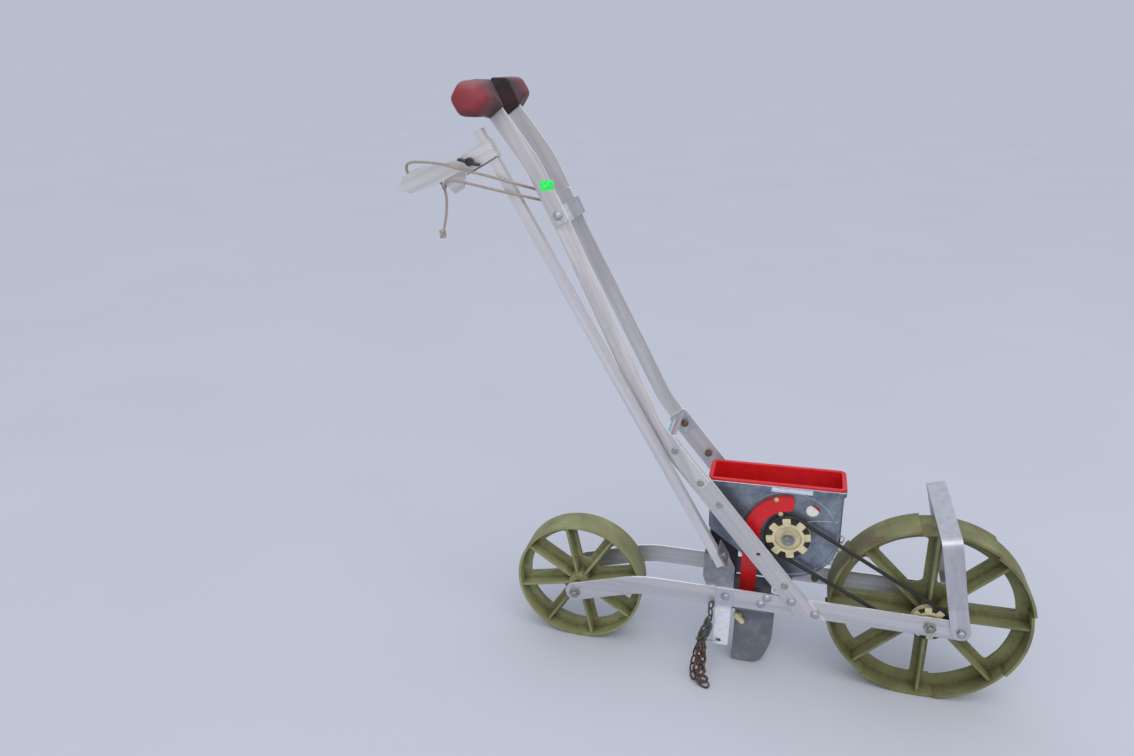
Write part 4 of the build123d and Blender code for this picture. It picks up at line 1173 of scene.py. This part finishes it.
# %% Chute screws
screw = turned("screw", [(0, 0), (3.6, 0), (3.6, 0.9), (2.9, 2.0), (1.2, 2.5), (0, 2.3)], 16)
chute_screws = [(machine(x, -34, z), near_side) for x, z in ((-228, 303), (-220, 281))]
show(
    "chute_screws",
    stamped("chute_screws", screw, chute_screws),
    "frame",
    moulded_plastic("tan_nylon", "C0AE86", "94835F", 0.45, 0.6, 4),
)

# %% Washer on the seed shaft
hub_y = -43.6
washer = turned("washer", [(7.1, 0), (9.6, 0), (9.6, 0.7), (9.2, 1.0), (7.1, 1.0), (7.1, 0)], 28)
hub_washer = stamped("seed_pulley_washer", washer, [(machine(seed_x, hub_y, seed_z), near_side)])
show("seed_pulley_washer", hub_washer, "seed_drive_set", bracket_metal)

# %% Dark gaps between the teeth
# Each dark ring stands for the belt and is partly painted shade
gap_y, ring_thickness, inner_share = -38.6, 0.3, 0.7
for name, place, outer, body in (
    ("seed_pulley_gaps", (seed_x, gap_y, seed_z), 31.2, "seed_drive_set"),
    ("front_pulley_gaps", (0, gap_y, front_axle_z), 25.7, "front_wheel_set"),
):
    inner = outer * inner_share
    face = [(inner, 0), (outer, 0), (outer, ring_thickness), (inner, ring_thickness), (inner, 0)]
    ring = stamped(name, turned(name, face, 40), [(machine(*place), near_side)])
    show(name, ring, body, belt_rubber)

# %% [markdown]
# ## The chain and its wire
#
# A short drag chain is bundled up beside the tongue and tied with a wire through the tongue's
# hole. One strand comes from CAD, and two more are made here. A link could be modelled once and
# repeated by an array along a curve, but then all of them would be live modifiers. Here a small
# circle is spun into a ring, its two halves are pulled apart, and copies of that link are set
# along a smooth line, each turned a quarter from the one before.

# %% One link
link_wire, link_bend, link_stretch, link_pitch = 0.0021, 0.0039, 0.0028, 0.0108
bm = bmesh.new()
section = bmesh.ops.create_circle(bm, segments=8, radius=link_wire)["verts"]
bmesh.ops.rotate(bm, verts=section, matrix=Matrix.Rotation(math.radians(90), 3, "X"))
bmesh.ops.translate(bm, verts=section, vec=(link_bend, 0, 0))
bmesh.ops.spin(
    bm,
    geom=list(bm.verts) + list(bm.edges),
    cent=(0, 0, 0),
    axis=(0, 0, 1),
    dvec=(0, 0, 0),
    angle=2 * math.pi,
    steps=16,
    use_merge=True,
)
for vert in bm.verts:
    vert.co.x += math.copysign(link_stretch, vert.co.x) if abs(vert.co.x) > 1e-5 else 0.0
link = finished_mesh("link", bm)
print("faces of a link:", len(link.polygons))

# %% Strands of links
def strand_mesh(name, route):
    """Links set along a smooth route, turned a quarter each time."""
    line = along_spline([machine(*spot) for spot in route], 24)
    bm = bmesh.new()
    last = line[0]
    count = 0
    for here in line[1:]:
        if (here - last).length < link_pitch:
            continue
        heading = (here - last).normalized()
        turn = Vector((1, 0, 0)).rotation_difference(heading).to_matrix().to_4x4()
        twist = Matrix.Rotation(math.radians(45 if count % 2 else -45), 4, "X")
        before = len(bm.verts)
        bm.from_mesh(link)
        bm.verts.ensure_lookup_table()
        bmesh.ops.transform(
            bm,
            matrix=Matrix.Translation((here + last) / 2) @ turn @ twist,
            verts=bm.verts[before:],
        )
        last = here
        count += 1
    print(name, "links:", count)
    return finished_mesh(name, bm)


# %% Second and third strand
second_route = [
    (-305, -66, 96),
    (-312, -69, 72),
    (-318, -71, 60),
    (-307, -73, 48),
    (-317, -75, 38),
    (-307, -78, 27),
    (-313, -83, 16),
    (-322, -88, 5.5),
    (-312, -92, 5.5),
]
third_route = [
    (-309, -60, 100),
    (-314, -63, 84),
    (-322, -66, 66),
    (-313, -66, 54),
    (-324, -70, 44),
    (-314, -72, 33),
    (-324, -77, 22),
    (-318, -82, 11),
    (-308, -84, 5.5),
    (-300, -80, 5.5),
]
for name, route in (("chain_second_strand", second_route), ("chain_third_strand", third_route)):
    show(name, strand_mesh(name, route), "frame", rust)

# %% Wire
# Iron wire under a matt green tarnish shows no metal, so it too has the plastics' recipe
green_wire = moulded_plastic("tarnished_wire", "7E9088", "A3AAA2", 0.45, 0.7, 3)
wire_route = [
    (-292, -57, 64),
    (-293, -62, 64.5),
    (-303, -64, 66),
    (-315, -66, 65),
    (-324, -65, 63),
    (-326, -58, 61),
    (-320, -52, 60),
    (-309, -51, 63),
]
wire_line = along_spline([machine(*spot) for spot in wire_route], 10)
wire_radius = 0.0012
wire_mesh = tube_mesh("chain_wire", [wire_line], wire_radius, 2)
show("chain_wire", wire_mesh, "frame", green_wire)

# %% [markdown]
# ## Stains and painted shade in fixed places
#
# A rusty stain surrounds the hole in the tongue, whose darkness is painted shade, and a dark line
# of painted shade runs under the clamp's lower edge. Noise in a material falls where it likes,
# but these marks belong in one place each. So they are thin pieces of their own: two discs a
# tenth of a millimetre thick, and a fine tube square across the marker's arm.

# %% The tongue's hole
# The tongue leans out a little, and the discs lie flat on it
tongue_out = (0, -0.99, -0.142)
tongue_face_y = -58.95
# The smaller dark disc is painted shade that stands for the hole, and the larger one is a rust
# stain
for name, disc_radius, lift, material in (
    ("tongue_stain", 3.8, 0.0, rust),
    ("tongue_hole", 2.4, 0.1, belt_rubber),
):
    disc = turned(name, [(0, 0), (disc_radius, 0), (disc_radius, 0.12), (0, 0.12)], 18)
    foot = machine(-292, tongue_face_y - lift, 64)
    show(name, stamped(name, disc, [(foot, tongue_out)]), "frame", material)

# %% Dark edge of the clamp
# The folded arm rises to the rear, and these two directions run along it and across it
arm_way = Vector((-0.5105, 0, 0.8599))
arm_side = Vector((0.8599, 0, 0.5105))
arm_foot = Vector((-302, -74.7, 214))
clamp_distance = 644.8
clamp_end = arm_foot + arm_way * clamp_distance
clamp_edge = [machine(*(clamp_end + arm_side * reach)) for reach in (8.4, -16, -41.5)]
# The dark line along the clamp's lower edge is painted shade
edge_mesh = tube_mesh("clamp_edge", [clamp_edge], 0.0006, 2)
show("clamp_edge", edge_mesh, "marker", rust)

# %% [markdown]
# ## Pressed lines in the hopper
#
# A stiffening ring is pressed into the hopper's near side round the seed wheel, and a fold runs
# from it to the front edge. Each is a low round bead that stands out of the sheet: a small
# circle spun round the seed shaft for the ring, and a thin tube along a line for the folds.

# %% Pressed ring
near_wall_y = -27.0
ring_radius = 68.0
bead_radius = 0.0014
bm = bmesh.new()
bead = bmesh.ops.create_circle(bm, segments=10, radius=bead_radius)["verts"]
bmesh.ops.translate(bm, verts=bead, vec=machine(seed_x + ring_radius, near_wall_y, seed_z))
bmesh.ops.spin(
    bm,
    geom=list(bm.verts) + list(bm.edges),
    cent=machine(seed_x, near_wall_y, seed_z),
    axis=(0, 1, 0),
    dvec=(0, 0, 0),
    angle=2 * math.pi,
    steps=72,
    use_merge=True,
)
# Raised beads get lighter greys than the sheet round them, a painted highlight along them
highlit_pressed_metal = galvanised("highlit_pressed_sheet", "A9B3BF", "76828F")
show("hopper_ring", finished_mesh("hopper_ring", bm), "frame", highlit_pressed_metal)

# %% Folds
fold_radius = 0.0008
fold_runs = [
    [(-181, 269.5), (-172, 272.5), (-140, 276)],
    [(-173, 240), (-162, 229), (-151, 219)],
]
fold_lines = [[machine(x, near_wall_y, z) for x, z in run] for run in fold_runs]
fold_mesh = tube_mesh("hopper_folds", fold_lines, fold_radius, 2)
show("hopper_folds", fold_mesh, "frame", highlit_pressed_metal)

# %% Pale edge of the hem, a painted highlight
# The hopper stands front up by 1.6 degrees, so the hem rises from the seed shaft forward
hem_ends = [(-325, -30.0), (-136, -30.0), (-132.8, -26.5), (-132.8, 31.0)]
hem_height = 322.3
hem_rise = math.tan(math.radians(1.6))
hem_edge = [machine(x, y, hem_height + (x - seed_x) * hem_rise) for x, y in hem_ends]
hem_mesh = tube_mesh("hem_edge", [hem_edge], 0.0007, 2)
# The rolled edge is drawn in bright zinc, a painted highlight along it
show("hem_edge", hem_mesh, "frame", bright_zinc)

# %% [markdown]
# ## Blank labels
#
# Three stickers are left on the machine, all blank here: a bright green square on the
# handle, a pale strip under the hopper's rim, and a faded striped one on the spacer. A sticker
# is a sheet of paper or film a fifth of a millimetre thick, so each is one face with its grid
# lifted along a crease and then thickened.

# %% Stickers
film_thickness = 0.0002
# The crease runs a little below the middle, and fades out an eighth of the height away
crease_place, crease_steepness = 0.3, 4


def sticker(name, corners, lift, material):
    """A thin patch between four corners, lifted a little along a crease."""
    bm = bmesh.new()
    bm.faces.new([bm.verts.new(corner) for corner in corners])
    bmesh.ops.subdivide_edges(bm, edges=bm.edges, cuts=7, use_grid_fill=True)
    centre = sum(corners, Vector()) / 4
    span = (corners[0] - corners[3]) / 2
    bm.faces.ensure_lookup_table()
    outward = bm.faces[0].normal.copy()
    for vert in bm.verts:
        share = (vert.co - centre).dot(span) / span.length_squared
        vert.co += outward * lift * max(0.0, 1 - abs(share - crease_place) * crease_steepness)
    bmesh.ops.solidify(bm, geom=bm.faces, thickness=film_thickness)
    show(name, finished_mesh(name, bm), "frame", material)


# %% Green sticker
# Fluorescent paper sends back more light than falls on it in its colour, and a faint painted glow
# stands for that
glowing_green_paper = mottled(
    "fluorescent_paper",
    5,
    3.0,
    [(0.35, "1FDC50"), (0.6, "3BF86E")],
    Roughness=0.6,
    Emission_Color=colour("35F566"),
    Emission_Strength=0.12,
)
green_corners = [(-577.9, 738.1), (-559.4, 740.2), (-555.9, 727.6), (-575.1, 724.3)]
sticker(
    "price_sticker",
    [machine(x, -upper_y - 0.25, z) for x, z in reversed(green_corners)],
    0.0012,
    glowing_green_paper,
)

# %% Strip under the rim
# The film's two pale shades are bluish, a painted reflection of the sky on its gloss
strip_corners = [(-236, 320.4), (-179, 322), (-179, 314.6), (-236, 313)]
sticker(
    "rim_strip",
    [machine(x, -30.25, z) for x, z in reversed(strip_corners)],
    0.0009,
    moulded_plastic("pale_film", "C9D2E2", "A3AFC4", 0.3, 0.7, 7),
)

# %% Striped sticker on the spacer
# The sun has bleached the inks in patches, and the spacer's upper face slopes up to the front
spacer_foot = Vector((-386.95, 0, 383.95))
frontwards = Vector((0.7581, 0, 0.6521))
stripes = [
    ("teal_stripe", -5.5, -1.0, "53BDBB", "9CD4D2"),
    ("white_stripe", -1.0, 1.6, "DFE1E4", "C3C5C9"),
    ("pink_stripe", 1.6, 6.2, "D08F98", "C9ADB0"),
]
for name, back, front, fresh, faded in stripes:
    ends = [(back, -44), (front, -44), (front, 26), (back, 26)]
    spots = [spacer_foot + frontwards * ahead + Vector((0, y, 0)) for ahead, y in ends]
    film = moulded_plastic(name + "_film", fresh, faded, 0.5, 0.8, 6)
    sticker(name, [machine(*spot) for spot in spots], 0.0, film)
